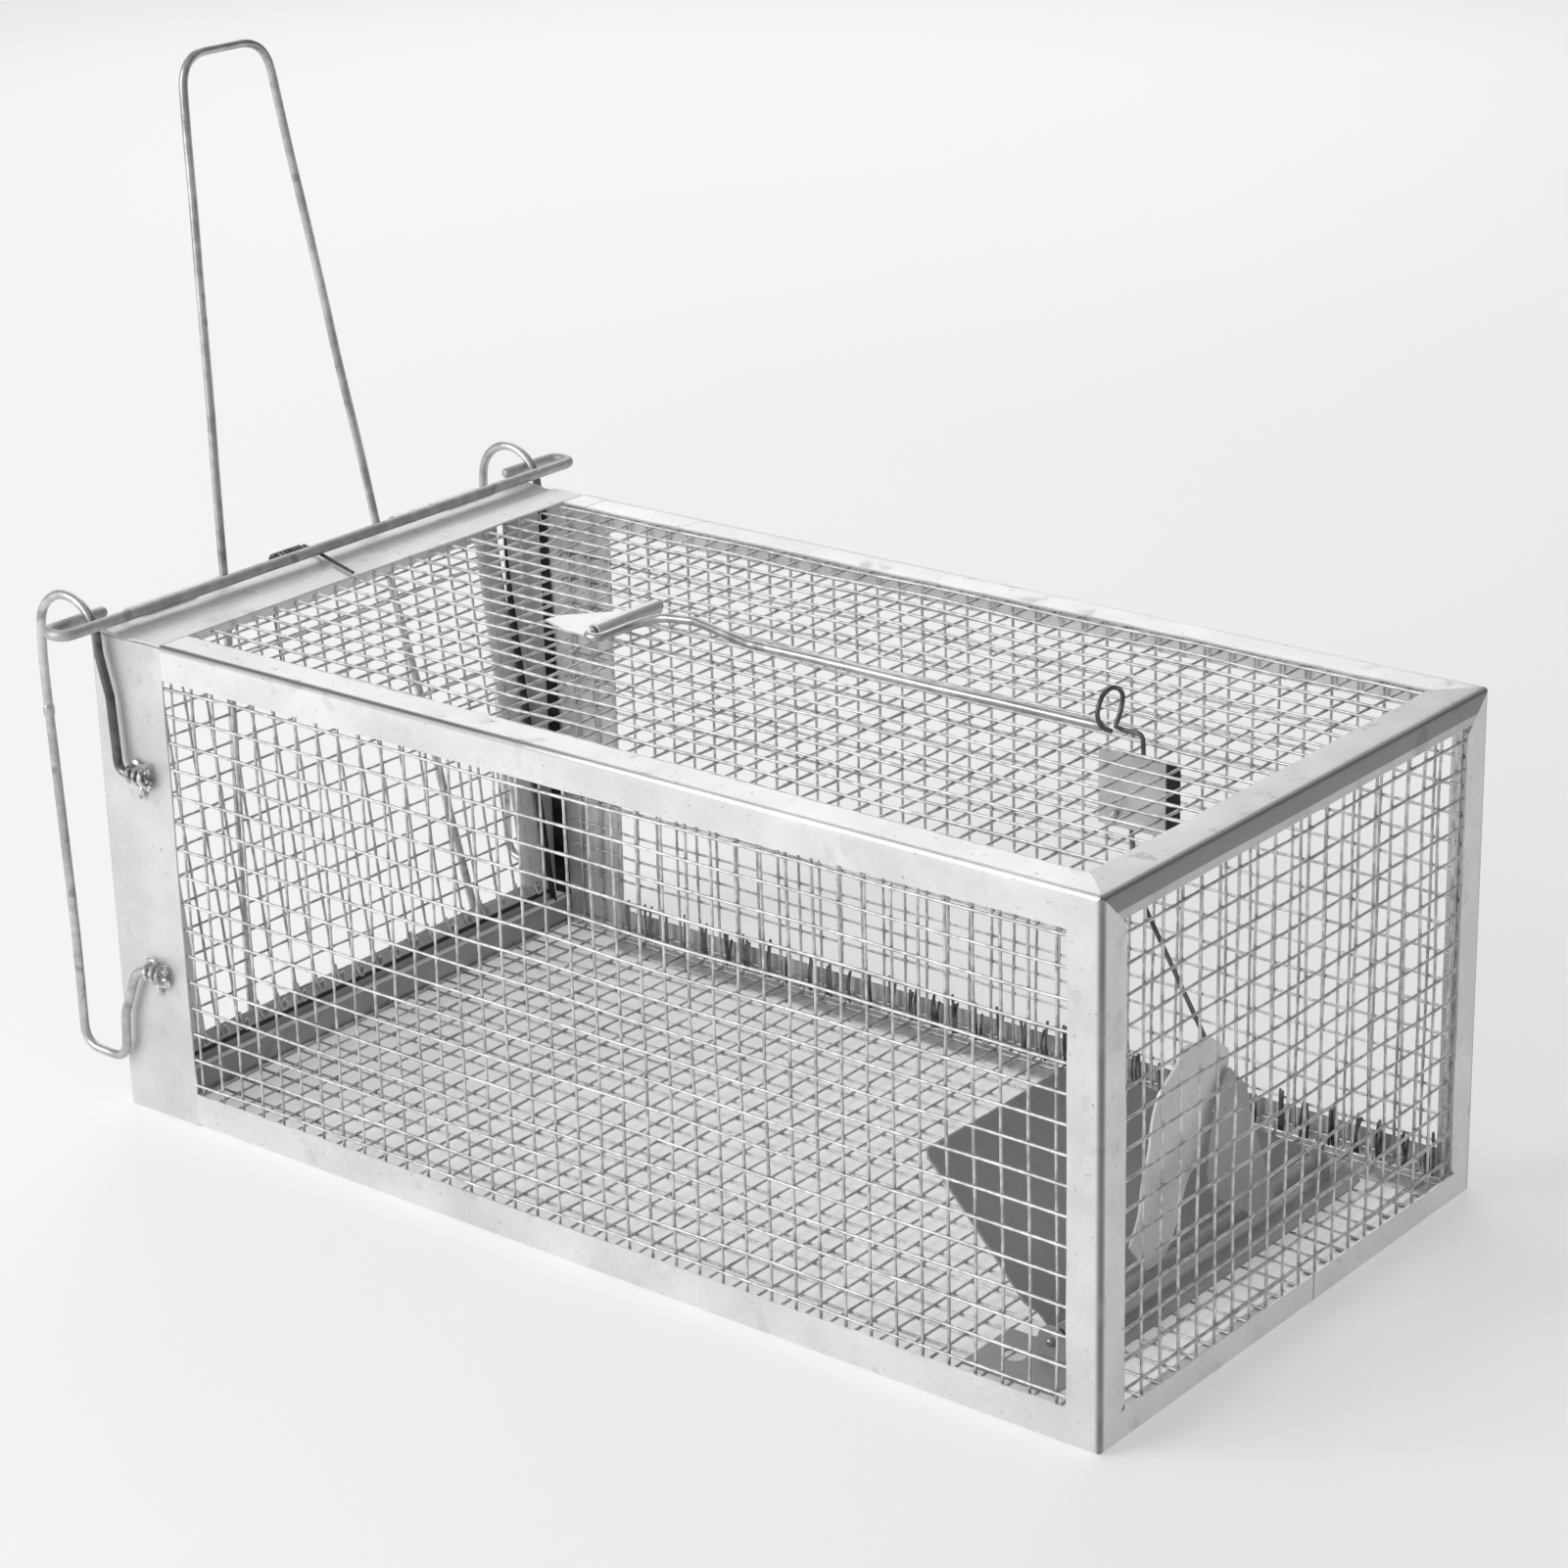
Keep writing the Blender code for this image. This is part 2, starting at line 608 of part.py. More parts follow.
def pedal_leaf():
    """Narrow upright leaf behind the pedal's arm, with a rounded, holed foot."""
    outline = [(6.0, 47.2), (12.9, 41.0), (16.4, 30.1), (21.2, 18.4), (24.9, 10.5), (23.5, 7.2),
               (18.4, 8.4), (12.0, 12.7), (1.3, 20.1), (-1.3, 25.9), (0.8, 38.3), (3.5, 45.0)]
    place(plate("pedal_leaf", outline[::-1], (LEAF_X, 0, 0), (0, 1, 0), (0, 0, 1), SHEET,
                [(16.3, 14.4, 1.4)]), "pedal", "dull_sheet")


def pedal():
    """Slanted tread and upright arm fixed to one sleeve that turns on the pin."""
    sleeve = cylinder("pedal_sleeve", (PEDAL_X, 1.75, PEDAL_Z), SLEEVE_R, 93.5, 16, capped=False)
    place(solidify(sleeve), "pedal", "dull_sheet")
    rise = math.radians(TREAD_RISE)
    start = SLEEVE_R + SHEET / 2 + GAP
    tread = [(-46.4, start), (49.8, start), (49.8, 4.6), (5.0, 45.0), (-48.3, 45.0),
             (-48.3, 9.0), (-46.4, 6.0)]
    place(plate("pedal_tread", tread, (PEDAL_X, 0, PEDAL_Z), (0, 1, 0),
                (-math.cos(rise), 0, math.sin(rise)), PEDAL_SHEET), "pedal", "pedal_grey")
    lean = math.radians(ARM_LEAN)
    arm = [(-15.5, start), (-9.5, start), (0.0, 21.5), (4.3, 32.5), (8.8, 37.5), (6.5, 45.0),
           (0.5, 49.5), (-9.5, 51.5), (-17.5, 43.5), (-22.5, 10.0)]
    place(plate("pedal_arm", arm, (PEDAL_X, 0, PEDAL_Z), (0, 1, 0),
                (math.sin(lean), 0, math.cos(lean)), PEDAL_SHEET), "pedal", "bright_sheet")


# ---------------------------------------------------------------- build

clear_scene()
TRAP = new_collection("live_catch_trap")
CUTTERS = new_collection("cutters")
PIVOT = make_pivots()

edge_strips()
front_plates()
top_plate()
sill()
cage_netting()
hinge()
torsion_spring()
guide_wires()
lock_bar()
door()
trigger_clip()
trigger_rod()
catch_bracket()
catch_lever()
pedal_base()
pedal_leaf()
pedal()
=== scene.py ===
import json
import math
import random

import bpy
from mathutils import Matrix, Vector, noise


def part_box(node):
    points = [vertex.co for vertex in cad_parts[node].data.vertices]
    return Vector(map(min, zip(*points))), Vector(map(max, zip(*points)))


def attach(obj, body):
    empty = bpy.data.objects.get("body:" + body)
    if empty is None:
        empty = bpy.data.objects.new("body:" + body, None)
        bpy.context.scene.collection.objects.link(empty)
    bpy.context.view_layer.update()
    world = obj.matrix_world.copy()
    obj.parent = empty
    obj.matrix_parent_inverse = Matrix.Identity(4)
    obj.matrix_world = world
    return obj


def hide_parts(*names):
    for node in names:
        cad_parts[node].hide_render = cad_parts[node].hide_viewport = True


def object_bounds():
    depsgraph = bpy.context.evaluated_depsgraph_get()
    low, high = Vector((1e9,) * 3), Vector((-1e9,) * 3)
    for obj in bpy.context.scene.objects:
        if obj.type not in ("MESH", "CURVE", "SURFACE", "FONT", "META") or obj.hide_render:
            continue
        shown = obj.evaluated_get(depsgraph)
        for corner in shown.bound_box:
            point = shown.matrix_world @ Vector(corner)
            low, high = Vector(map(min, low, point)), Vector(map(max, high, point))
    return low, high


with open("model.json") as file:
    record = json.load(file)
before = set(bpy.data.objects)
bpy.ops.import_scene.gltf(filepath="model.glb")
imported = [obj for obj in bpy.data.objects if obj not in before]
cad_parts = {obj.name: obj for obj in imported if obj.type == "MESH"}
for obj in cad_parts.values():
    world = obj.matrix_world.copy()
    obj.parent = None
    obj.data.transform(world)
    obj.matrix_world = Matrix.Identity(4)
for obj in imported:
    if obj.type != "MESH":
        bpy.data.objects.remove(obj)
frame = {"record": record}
cad_low, cad_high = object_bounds()
noise.seed_set(21)  # without it noise_vector starts from the clock, and each run differs

# Everything below is drawn in cage millimetres: x from the doorway to the closed end, y from
# the near side to the far side with 0 in the middle, z up from the floor.
MM = 0.001
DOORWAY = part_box("front_plate_near")[0].x


def at(point):
    """A point in cage millimetres as a place in the frame, in metres."""
    return Vector((DOORWAY + point[0] * MM, point[1] * MM, point[2] * MM))


def span(node):
    """Lowest and highest corner of a CAD node, in cage millimetres."""
    return [Vector(((c.x - DOORWAY) / MM, c.y / MM, c.z / MM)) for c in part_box(node)]


def joint_place(name):
    """x and z of a joint's axis, in cage millimetres. Every axis runs along y."""
    found = [j for j in frame["record"]["behaviour"]["joints"] if j["name"] == name][0]
    return (found["pos_m"][0] - DOORWAY) / MM, found["pos_m"][2] / MM


LENGTH = span("rear_post_near")[1].x
HALF = span("front_plate_far")[1].y
HEIGHT = span("top_strip_near")[1].z
NEAR_PLATE = span("front_plate_near")[1].x
FAR_PLATE = span("front_plate_far")[1].x
STRIP = span("top_strip_near")[1].z - span("top_strip_near")[0].z
TOP_STRIP_IN = HALF + span("top_strip_near")[1].y
REAR_TOP_IN = LENGTH - span("rear_strip_top")[0].x
REAR_TOP_DROP = HEIGHT - span("rear_strip_top")[0].z
REAR_BOTTOM_RISE = span("rear_strip_bottom")[1].z
SHEET = 0.5
FOLD = 1.15

HINGE_X, HINGE_Z = joint_place("door_hinge")
ARCH_X, ARCH_Z = joint_place("lock_bar_swing")
ROD_X, ROD_Z = joint_place("trigger_rod_hinge")
CATCH_X, CATCH_Z = joint_place("catch_hinge")
PEDAL_X, PEDAL_Z = joint_place("pedal_hinge")

DOOR_TILT = math.radians(7.0)
DOOR_HALF = span("door_strip_top")[1].y
DOOR_TOP, DOOR_BOTTOM, DOOR_BORDER = 3.3, 108.2, 8.0
DOOR_PLANE = 0.65
HANDLE_OUT = 2.6
KNUCKLE_R = 1.5
GUIDE_Y = 72.0
GUIDE_FEET = (83.6, 36.0)
GUIDE_R = 1.05
PITCH = 6.35
NET_WIRE = 0.33
REAR_SEAM_Y = 6.5
CATCH_FLANGE_X = 238.3
STEM_X, STEM_Y = 232.6, 0.3
SILL_TOP = span("door_sill")[1].z


# ---------------------------------------------------------------- forms

class Form:
    """Points, in cage millimetres, and faces of one piece."""

    def __init__(self):
        self.points = []
        self.faces = []

    def ring(self, first, second, count):
        for k in range(count):
            after = (k + 1) % count
            self.faces.append((first + k, first + after, second + after, second + k))

    def loft(self, rings):
        """Closed tube through rings of points, with a cap on each end."""
        starts = []
        for loop in rings:
            starts.append(len(self.points))
            self.points.extend(loop)
        count = len(rings[0])
        for first, second in zip(starts, starts[1:]):
            self.ring(first, second, count)
        self.faces.append(tuple(range(starts[0] + count - 1, starts[0] - 1, -1)))
        self.faces.append(tuple(range(starts[-1], starts[-1] + count)))

    def tube(self, path, radius, sides=10, blunt=True):
        """Round wire along a path. radius is one number, or one for each point."""
        path = [Vector(p) for p in path]
        radii = list(radius) if hasattr(radius, "__len__") else [radius] * len(path)
        if blunt:
            path, radii = rounded_ends(path, radii)
        rings, side = [], None
        for k, here in enumerate(path):
            along = (path[min(k + 1, len(path) - 1)] - path[max(k - 1, 0)]).normalized()
            side = along.orthogonal() if side is None else side - along * side.dot(along)
            side.normalize()
            up = along.cross(side)
            turns = [math.tau * s / sides for s in range(sides)]
            rings.append([here + (side * math.cos(t) + up * math.sin(t)) * radii[k] for t in turns])
        self.loft(rings)

    def sheet(self, rows):
        """Open grid of points, which gets its thickness later."""
        first = len(self.points)
        across = len(rows[0])
        for row in rows:
            self.points.extend(row)
        for r in range(len(rows) - 1):
            for c in range(across - 1):
                corner = first + r * across + c
                self.faces.append((corner, corner + 1, corner + across + 1, corner + across))

    def lump(self, centre, reach, seed, steps=7):
        """Uneven rounded drop of metal. reach is its half size along x, y and z."""
        centre, rings = Vector(centre), []
        for k in range(steps + 1):
            tilt = math.pi * (k + 0.15) / (steps + 0.3)
            loop = []
            for s in range(10):
                turn = math.tau * s / 10
                aim = Vector((math.sin(tilt) * math.cos(turn), math.sin(tilt) * math.sin(turn),
                              math.cos(tilt)))
                swell = 1.0 + 0.35 * noise.noise(aim * 1.7 + Vector((seed, seed * 0.7, 0)))
                loop.append(centre + Vector(a * r for a, r in zip(aim, reach)) * swell)
            rings.append(list(reversed(loop)))
        self.loft(rings)


def rounded_ends(path, radii):
    """The same wire with its two cut ends eased over."""
    def eased(end, inner, radius):
        into = (inner - end).normalized()
        steps = ((0.0, 0.45), (0.22, 0.8), (0.6, 1.0))
        return [end + into * radius * s for s, _ in steps], [radius * r for _, r in steps]

    head, head_radii = eased(path[0], path[1], radii[0])
    tail, tail_radii = eased(path[-1], path[-2], radii[-1])
    return (head + path[1:-1] + tail[::-1], head_radii + radii[1:-1] + tail_radii[::-1])


def rounded(points, radius, steps=6):
    """A run of points with its corners rounded off."""
    points = [Vector(p) for p in points]
    run = [points[0]]
    for before, corner, after in zip(points, points[1:], points[2:]):
        back, ahead = before - corner, after - corner
        reach = radius * math.tan((math.pi - back.angle(ahead)) / 2)
        reach = min(reach, back.length * 0.48, ahead.length * 0.48)
        a = corner + back.normalized() * reach
        b = corner + ahead.normalized() * reach
        for k in range(steps + 1):
            t = k / steps
            run.append(a * (1 - t) ** 2 + corner * 2 * t * (1 - t) + b * t * t)
    run.append(points[-1])
    return run


def flowing(points, steps=6):
    """Smooth run through every point."""
    points = [Vector(p) for p in points]
    ends = [points[0] * 2 - points[1]] + points + [points[-1] * 2 - points[-2]]
    run = []
    for a, b, c, d in zip(ends, ends[1:], ends[2:], ends[3:]):
        for k in range(steps):
            t = k / steps
            run.append(0.5 * (2 * b + (c - a) * t + (2 * a - 5 * b + 4 * c - d) * t * t
                              + (3 * b - a - 3 * c + d) * t ** 3))
    run.append(points[-1])
    return run


def hand_bent(path, amount, seed, spacing=4.0):
    """The path cut into short steps and drawn slightly out of true, with both ends kept."""
    path = [Vector(p) for p in path]
    run = [path[0]]
    for a, b in zip(path, path[1:]):
        cuts = max(1, int((b - a).length / spacing))
        run.extend(a + (b - a) * (k + 1) / cuts for k in range(cuts))
    bent = []
    for k, p in enumerate(run):
        hold = min(1.0, k / 4, (len(run) - 1 - k) / 4)
        drift = noise.noise_vector(p * 0.045 + Vector((seed, 0, seed)))
        bent.append(p + drift * amount * hold)
    return bent


def arc(x, z, radius, start, end, steps):
    """Points on an arc in the x-z plane, angles in degrees from +x towards +z."""
    turns = [math.radians(start + (end - start) * k / steps) for k in range(steps + 1)]
    return [(x + radius * math.cos(t), z + radius * math.sin(t)) for t in turns]


def along(line, place):
    """Value of a side line, given as (value, place) pairs, at one place."""
    for (v0, p0), (v1, p1) in zip(line, line[1:]):
        if place <= p1:
            return v0 + (v1 - v0) * (place - p0) / max(p1 - p0, 1e-6)
    return line[-1][0]


def panel(left, right, rows, columns):
    """Grid of (u, v) between two side lines, which are (u, v) pairs in rising v."""
    low, high = left[0][1], left[-1][1]
    grid = []
    for r in range(rows + 1):
        v = low + (high - low) * r / rows
        a, b = along(left, v), along(right, v)
        grid.append([(a + (b - a) * c / columns, v) for c in range(columns + 1)])
    return grid


# ---------------------------------------------------------------- pieces

def thickened(obj, thickness, edge):
    """Gives a sheet its thickness and eased edges, and keeps the result as its mesh."""
    shell = obj.modifiers.new("thickness", "SOLIDIFY")
    shell.thickness = thickness * MM
    shell.offset = 0.0
    shell.use_even_offset = True
    if edge:
        ease = obj.modifiers.new("edges", "BEVEL")
        ease.width = edge * MM
        ease.segments = 1
        ease.limit_method = "ANGLE"
        ease.angle_limit = math.radians(60)
    graph = bpy.context.evaluated_depsgraph_get()
    mesh = bpy.data.meshes.new_from_object(obj.evaluated_get(graph))
    obj.modifiers.clear()
    obj.data = mesh
    return mesh


def piece(name, form, body, finish, nodes, thickness=None, edge=0.1, crease=40.0):
    """Makes a form into an object that stands for CAD nodes and rides on their body."""
    mesh = bpy.data.meshes.new(name)
    mesh.from_pydata([at(p) for p in form.points], [], form.faces)
    obj = bpy.data.objects.new(name, mesh)
    bpy.context.scene.collection.objects.link(obj)
    if thickness:
        mesh = thickened(obj, thickness, edge)
    mesh.shade_smooth()
    mesh.set_sharp_from_angle(angle=math.radians(crease))
    mesh.materials.append(finish)
    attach(obj, body)
    if nodes:
        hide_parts(*nodes)
    return obj


# ---------------------------------------------------------------- finishes

class Value:
    """A shader socket that works in sums: each expression on it adds its Math node."""

    def __init__(self, look, socket):
        self.look = look
        self.socket = socket

    def __add__(self, other):
        return self.look.math("ADD", self, other)

    def __sub__(self, other):
        return self.look.math("SUBTRACT", self, other)

    def __rsub__(self, other):
        return self.look.math("SUBTRACT", other, self)

    def __mul__(self, other):
        return self.look.math("MULTIPLY", self, other)

    __radd__ = __add__
    __rmul__ = __mul__


class Look:
    """One node material while it is being made."""

    def __init__(self, name, metallic):
        self.material = bpy.data.materials.new(name)
        self.material.use_nodes = True
        self.tree = self.material.node_tree
        self.shader = self.tree.nodes["Principled BSDF"]
        self.shader.inputs["Metallic"].default_value = metallic
        self.place = self.node("TexCoord", output="Object")

    def node(self, kind, settings=None, inputs=None, output=0):
        """Adds a node: its settings first, then the values or links of its sockets."""
        made = self.tree.nodes.new("ShaderNode" + kind)
        for key, value in (settings or {}).items():
            setattr(made, key, value)
        for key, value in (inputs or {}).items():
            self.feed(made.inputs[key], value)
        return Value(self, made.outputs[output])

    def feed(self, socket, value):
        if isinstance(value, Value):
            self.tree.links.new(value.socket, socket)
        else:
            socket.default_value = value

    def math(self, operation, first, second):
        return self.node("Math", {"operation": operation}, {0: first, 1: second})

    def noise(self, scale, detail=2.0, where=None):
        return self.node("TexNoise", None, {"Vector": where or self.place, "Scale": scale,
                                            "Detail": detail}, "Fac")

    def grains(self, scale):
        """A different random value for each small cell."""
        cell = self.node("TexVoronoi", {"feature": "F1"}, {"Vector": self.place, "Scale": scale},
                         "Color")
        return self.node("SeparateColor", None, {0: cell})

    def folds(self):
        """1 along the cage's outer folds, where two of its outer faces meet."""
        # mask for the painted fold shade
        x, y, z = (self.node("SeparateXYZ", None, {0: self.place}, k) for k in "XYZ")
        side = self.node("Math", {"operation": "ABSOLUTE"}, {0: y})
        reach = 1.6 * MM
        end, wall, top = at((LENGTH, HALF, HEIGHT))
        near = [self.between(value, limit - reach, limit - 0.25 * reach)
                for value, limit in ((x, end), (side, wall), (z, top))]
        # the painted shade along the wall-top folds fades out from x 110 to 175 mm, where those folds
        # are lit
        fading = 1.0 - self.between(x, at((110, 0, 0)).x, at((175, 0, 0)).x)
        return near[0] * near[1] + near[1] * near[2] * fading

    def stretched(self, amounts):
        return self.node("Mapping", None, {"Vector": self.place, "Scale": amounts})

    def between(self, value, low, high):
        """0 below low, 1 above high, and a soft step between."""
        return self.node("MapRange", {"interpolation_type": "SMOOTHSTEP"},
                         {"Value": value, "From Min": low, "From Max": high})

    def mixed(self, amount, first, second):
        """Colour mixed from first to second."""
        return self.node("Mix", {"data_type": "RGBA"}, {0: amount, 6: first, 7: second}, 2)

    def done(self, colour, roughness, height, depth, strength=1.0):
        """Feeds the shader. depth is how far the bump's height reaches, in millimetres."""
        self.feed(self.shader.inputs["Base Color"], colour)
        self.feed(self.shader.inputs["Roughness"], roughness)
        bump = self.node("Bump", None, {"Strength": strength, "Distance": depth * MM,
                                        "Height": height}, "Normal")
        self.feed(self.shader.inputs["Normal"], bump)
        return self.material


def grey(value, warmth=0.0):
    return (value * (1 + warmth), value, value * (1 - warmth), 1.0)


def zinc_sheet(name, light, dark, roughness, fold=0.0, metallic=0.6, seam=None, bands=()):
    """Galvanised sheet: soft clouds, faint crystal grains, fine specks and painted shade along
    the folds.

    fold is how strong that painted fold shade is. seam is the y of a butt joint. bands are
    level bands of flat tone, used for painted highlights, painted shadow lines and darker
    strips: low z, high z, tone, how much.
    """
    look = Look(name, metallic)
    y, z = (look.node("SeparateXYZ", None, {0: look.place}, k) for k in "YZ")
    clouds = look.noise(30.0, 2.0)
    patches = look.noise(110.0, 4.0)
    grains = look.grains(900.0)
    specks = look.between(look.noise(760.0, 2.0), 0.68, 0.75)
    blots = look.between(look.noise(150.0, 5.0), 0.60, 0.70)
    tone = clouds * 0.6 + patches * 0.34 + grains * 0.06
    colour = look.mixed(look.between(tone, 0.3, 0.7), grey(dark), grey(light))
    colour = look.mixed(blots * 0.3, colour, grey(dark * 0.72))
    colour = look.mixed(specks * 0.55, colour, grey(dark * 0.4))
    if fold:
        # painted shade along the cage's folds, broken up by the clouds
        painted_fold_shade = look.folds() * look.between(clouds + patches * 0.5, 0.25, 0.75)
        colour = look.mixed(painted_fold_shade * fold, colour, grey(dark * 0.25))
    if seam is not None:
        away = look.node("Math", {"operation": "ABSOLUTE"}, {0: y - seam * MM})
        line = 1.0 - look.between(away, 0.08 * MM, 0.28 * MM)
        colour = look.mixed(line * 0.8, colour, grey(0.06))
    # level bands of flat tone: painted highlights, painted shade and darker strips
    for low, high, tone, amount in bands:
        rising = look.between(z, (low - 0.2) * MM, (low + 0.2) * MM)
        falling = 1.0 - look.between(z, (high - 0.2) * MM, (high + 0.2) * MM)
        colour = look.mixed(rising * falling * amount, colour, grey(tone))
    rough = roughness - 0.10 + clouds * 0.12 + grains * 0.05 + blots * 0.12
    height = look.noise(40.0, 2.0) + patches * 0.25 + specks * 0.08
    return look.done(colour, rough, height, 0.35, 0.6)


def net_wire():
    """Galvanised netting wire: uneven zinc in fine runs and broad patches."""
    look = Look("netting_zinc", 0.7)
    runs = look.noise(520.0, 3.0)
    patches = look.noise(90.0, 3.0)
    colour = look.mixed(look.between(runs * 0.6 + patches * 0.4, 0.35, 0.66), grey(0.42),
                        grey(0.78))
    return look.done(colour, 0.28 + runs * 0.22, runs, 0.06, 0.8)


def drawn_wire(name, light, dark, roughness, metallic=0.9, stained=False):
    """Thick drawn wire: lengthwise mottling, dark scuffs and a dull patina."""
    look = Look(name, metallic)
    mottle = look.noise(330.0, 4.0)
    patches = look.noise(55.0, 3.0)
    scuffs = look.between(look.noise(210.0, 6.0), 0.60, 0.68)
    colour = look.mixed(look.between(mottle * 0.45 + patches * 0.55, 0.35, 0.65), grey(dark),
                        grey(light))
    colour = look.mixed(scuffs * 0.5, colour, grey(dark * 0.5))
    if stained:
        low, high = at((2.5, 0, 80.0)), at((6.0, 0, 86.0))
        x, z = (look.node("SeparateXYZ", None, {0: look.place}, k) for k in "XZ")
        stain = look.between(x, low.x, high.x) * look.between(z, low.z, high.z)
        colour = look.mixed(stain * (0.55 + mottle * 0.6), colour, grey(0.07))
    rough = roughness - 0.08 + mottle * 0.16 + scuffs * 0.15
    return look.done(colour, rough, mottle + scuffs * 0.5, 0.07, 0.7)


def pedal_sheet(name, light, dark):
    """Dull grey rolled sheet with faint rolling lines and rubbed spots."""
    look = Look(name, 0.12)
    lines = look.noise(60.0, 3.0, look.stretched((1.0, 9.0, 1.0)))
    patches = look.noise(30.0, 3.0)
    rubs = look.between(look.noise(120.0, 5.0), 0.60, 0.72)
    colour = look.mixed(look.between(lines * 0.4 + patches * 0.6, 0.3, 0.7), grey(dark),
                        grey(light))
    colour = look.mixed(rubs * 0.4, colour, grey(light * 1.3))
    return look.done(colour, 0.42 + lines * 0.18, lines, 0.05, 0.6)


def catch_sheet():
    """Light sheet of the catch plate, blackened on its slanted end flange."""
    look = Look("catch_sheet", 0.6)
    x = look.node("SeparateXYZ", None, {0: look.place}, "X")
    clouds = look.noise(140.0, 4.0)
    end = at((CATCH_FLANGE_X, 0, 0)).x
    black = look.between(x, end - 0.4 * MM, end)
    colour = look.mixed(look.between(clouds, 0.3, 0.7), grey(0.50), grey(0.64))
    colour = look.mixed(black, colour, grey(0.03))
    return look.done(colour, 0.38 + clouds * 0.15, clouds, 0.1, 0.6)


def shaded_metal():
    """Painted shadow: near-black sheet standing for the shade inside narrow folds and gaps."""
    look = Look("shaded_fold", 0.3)
    clouds = look.noise(200.0, 4.0)
    colour = look.mixed(look.between(clouds, 0.4, 0.7), grey(0.012), grey(0.05))
    return look.done(colour, 0.6 + clouds * 0.2, clouds, 0.1, 0.6)


def solder_metal():
    """Bright lumpy solder with dark flux in its hollows."""
    look = Look("solder", 0.9)
    lumps = look.noise(420.0, 4.0)
    flux = look.between(look.noise(650.0, 3.0), 0.56, 0.68)
    colour = look.mixed(look.between(lumps, 0.35, 0.65), grey(0.5), grey(0.85))
    colour = look.mixed(flux * 0.75, colour, grey(0.07))
    return look.done(colour, 0.2 + lumps * 0.2, lumps, 0.35, 1.0)


# fold sets the painted shade along the cage's folds on these two sheets
BRIGHT = zinc_sheet("bright_zinc_sheet", 0.84, 0.68, 0.40, fold=0.95)
SEAMED = zinc_sheet("seamed_zinc_sheet", 0.84, 0.70, 0.40, fold=0.5, seam=REAR_SEAM_Y)
PLATE = zinc_sheet("plate_zinc_sheet", 0.74, 0.60, 0.42, metallic=0.4)
ROOF_PLATE = zinc_sheet("roof_plate_zinc_sheet", 0.84, 0.70, 0.42, metallic=0.3)
ARM = zinc_sheet("pedal_arm_zinc_sheet", 0.92, 0.80, 0.40, metallic=0.2)
LEAF = zinc_sheet("pedal_leaf_zinc_sheet", 0.52, 0.40, 0.42, metallic=0.3)
# Darker copy of the bright sheet for the closed end's top strip as painted shade, with a painted dark
# band of shade on its end face just under the top fold.
SHADED_REAR_SHEET = zinc_sheet("shaded_rear_zinc_sheet", 0.66, 0.50, 0.42,
                  bands=((HEIGHT - 4.6, HEIGHT - 0.35, 0.20, 0.85),))
# The bright band along the top of the sill's lip is a painted highlight.
SILL = zinc_sheet("sill_zinc_sheet", 0.46, 0.32, 0.42, metallic=0.25,
                  bands=((SILL_TOP - 0.7, SILL_TOP + 1.0, 0.95, 1.0),))
# The door's bottom border carries a painted shadow line at 10.2 to 11.4 mm and is darker below it.
DOOR_FOOT = zinc_sheet("door_foot_zinc_sheet", 0.62, 0.44, 0.42, metallic=0.2,
                       bands=((10.2, 11.4, 0.02, 1.0), (0.0, 10.2, 0.28, 0.8)))
NET = net_wire()
WIRE = drawn_wire("drawn_wire", 0.62, 0.36, 0.34)
GUIDE = drawn_wire("guide_wire", 0.66, 0.40, 0.34, stained=True)
BAR = drawn_wire("lock_bar_wire", 0.62, 0.42, 0.46, metallic=0.4)
SPRING = drawn_wire("dark_spring_wire", 0.20, 0.09, 0.36)
GREY = pedal_sheet("pedal_grey_sheet", 0.42, 0.34)
BASE_GREY = pedal_sheet("pedal_base_sheet", 0.44, 0.34)
SOLDER = solder_metal()
CATCH = catch_sheet()
SHADED = shaded_metal()
ENDS = drawn_wire("cut_wire_ends", 0.34, 0.07, 0.36)


# ---------------------------------------------------------------- cage sheet

def fold_section(first, second, per_side=5, arc_steps=5):
    """Section of a folded strip: how far inward each point lies from the two outer faces."""
    half = SHEET / 2
    section = [(first + (FOLD - first) * k / per_side, half) for k in range(per_side)]
    for k in range(arc_steps + 1):
        turn = math.radians(90.0 * k / arc_steps)
        section.append((FOLD - (FOLD - half) * math.sin(turn),
                        FOLD - (FOLD - half) * math.cos(turn)))
    section += [(half, FOLD + (second - FOLD) * (k + 1) / per_side) for k in range(per_side)]
    return section


def edge_strip(name, node, axis, corner, inward, widths, ends, mitred, finish, seed):
    """Folded strip along one cage edge, with mitred ends and slightly wavy free edges."""
    first, second = widths
    others = [k for k in range(3) if k != axis]
    start, end = ends
    count = int((end - start) / 4.0)
    rows = []
    for k in range(count + 1):
        row = []
        for a, b in fold_section(first, second):
            trim = max(a, b)
            low = start + (trim if mitred[0] else 0.0)
            high = end - (trim if mitred[1] else 0.0)
            place = low + (high - low) * k / count
            hold = max(0.0, min(1.0, (place - low) / 9, (high - place) / 9))
            wave = hold * noise.noise(Vector((place * 0.06, seed, a * 0.1)))
            dent = hold * (0.5 + noise.noise(Vector((place * 0.11, seed + 5, b * 0.1))))
            lean_a, lean_b = a / first, b / second
            shift_a = 0.22 * wave * lean_a + 0.22 * dent * lean_b ** 2
            shift_b = 0.22 * wave * lean_b + 0.22 * dent * lean_a ** 2
            spot = [0.0, 0.0, 0.0]
            spot[axis] = place
            spot[others[0]] = corner[0] + inward[0] * (a + max(shift_a, -0.2 * a))
            spot[others[1]] = corner[1] + inward[1] * (b + max(shift_b, -0.2 * b))
            row.append(Vector(spot))
        rows.append(row)
    form = Form()
    form.sheet(rows)
    return piece(name, form, "cage", finish, [node], SHEET, edge=0.0)


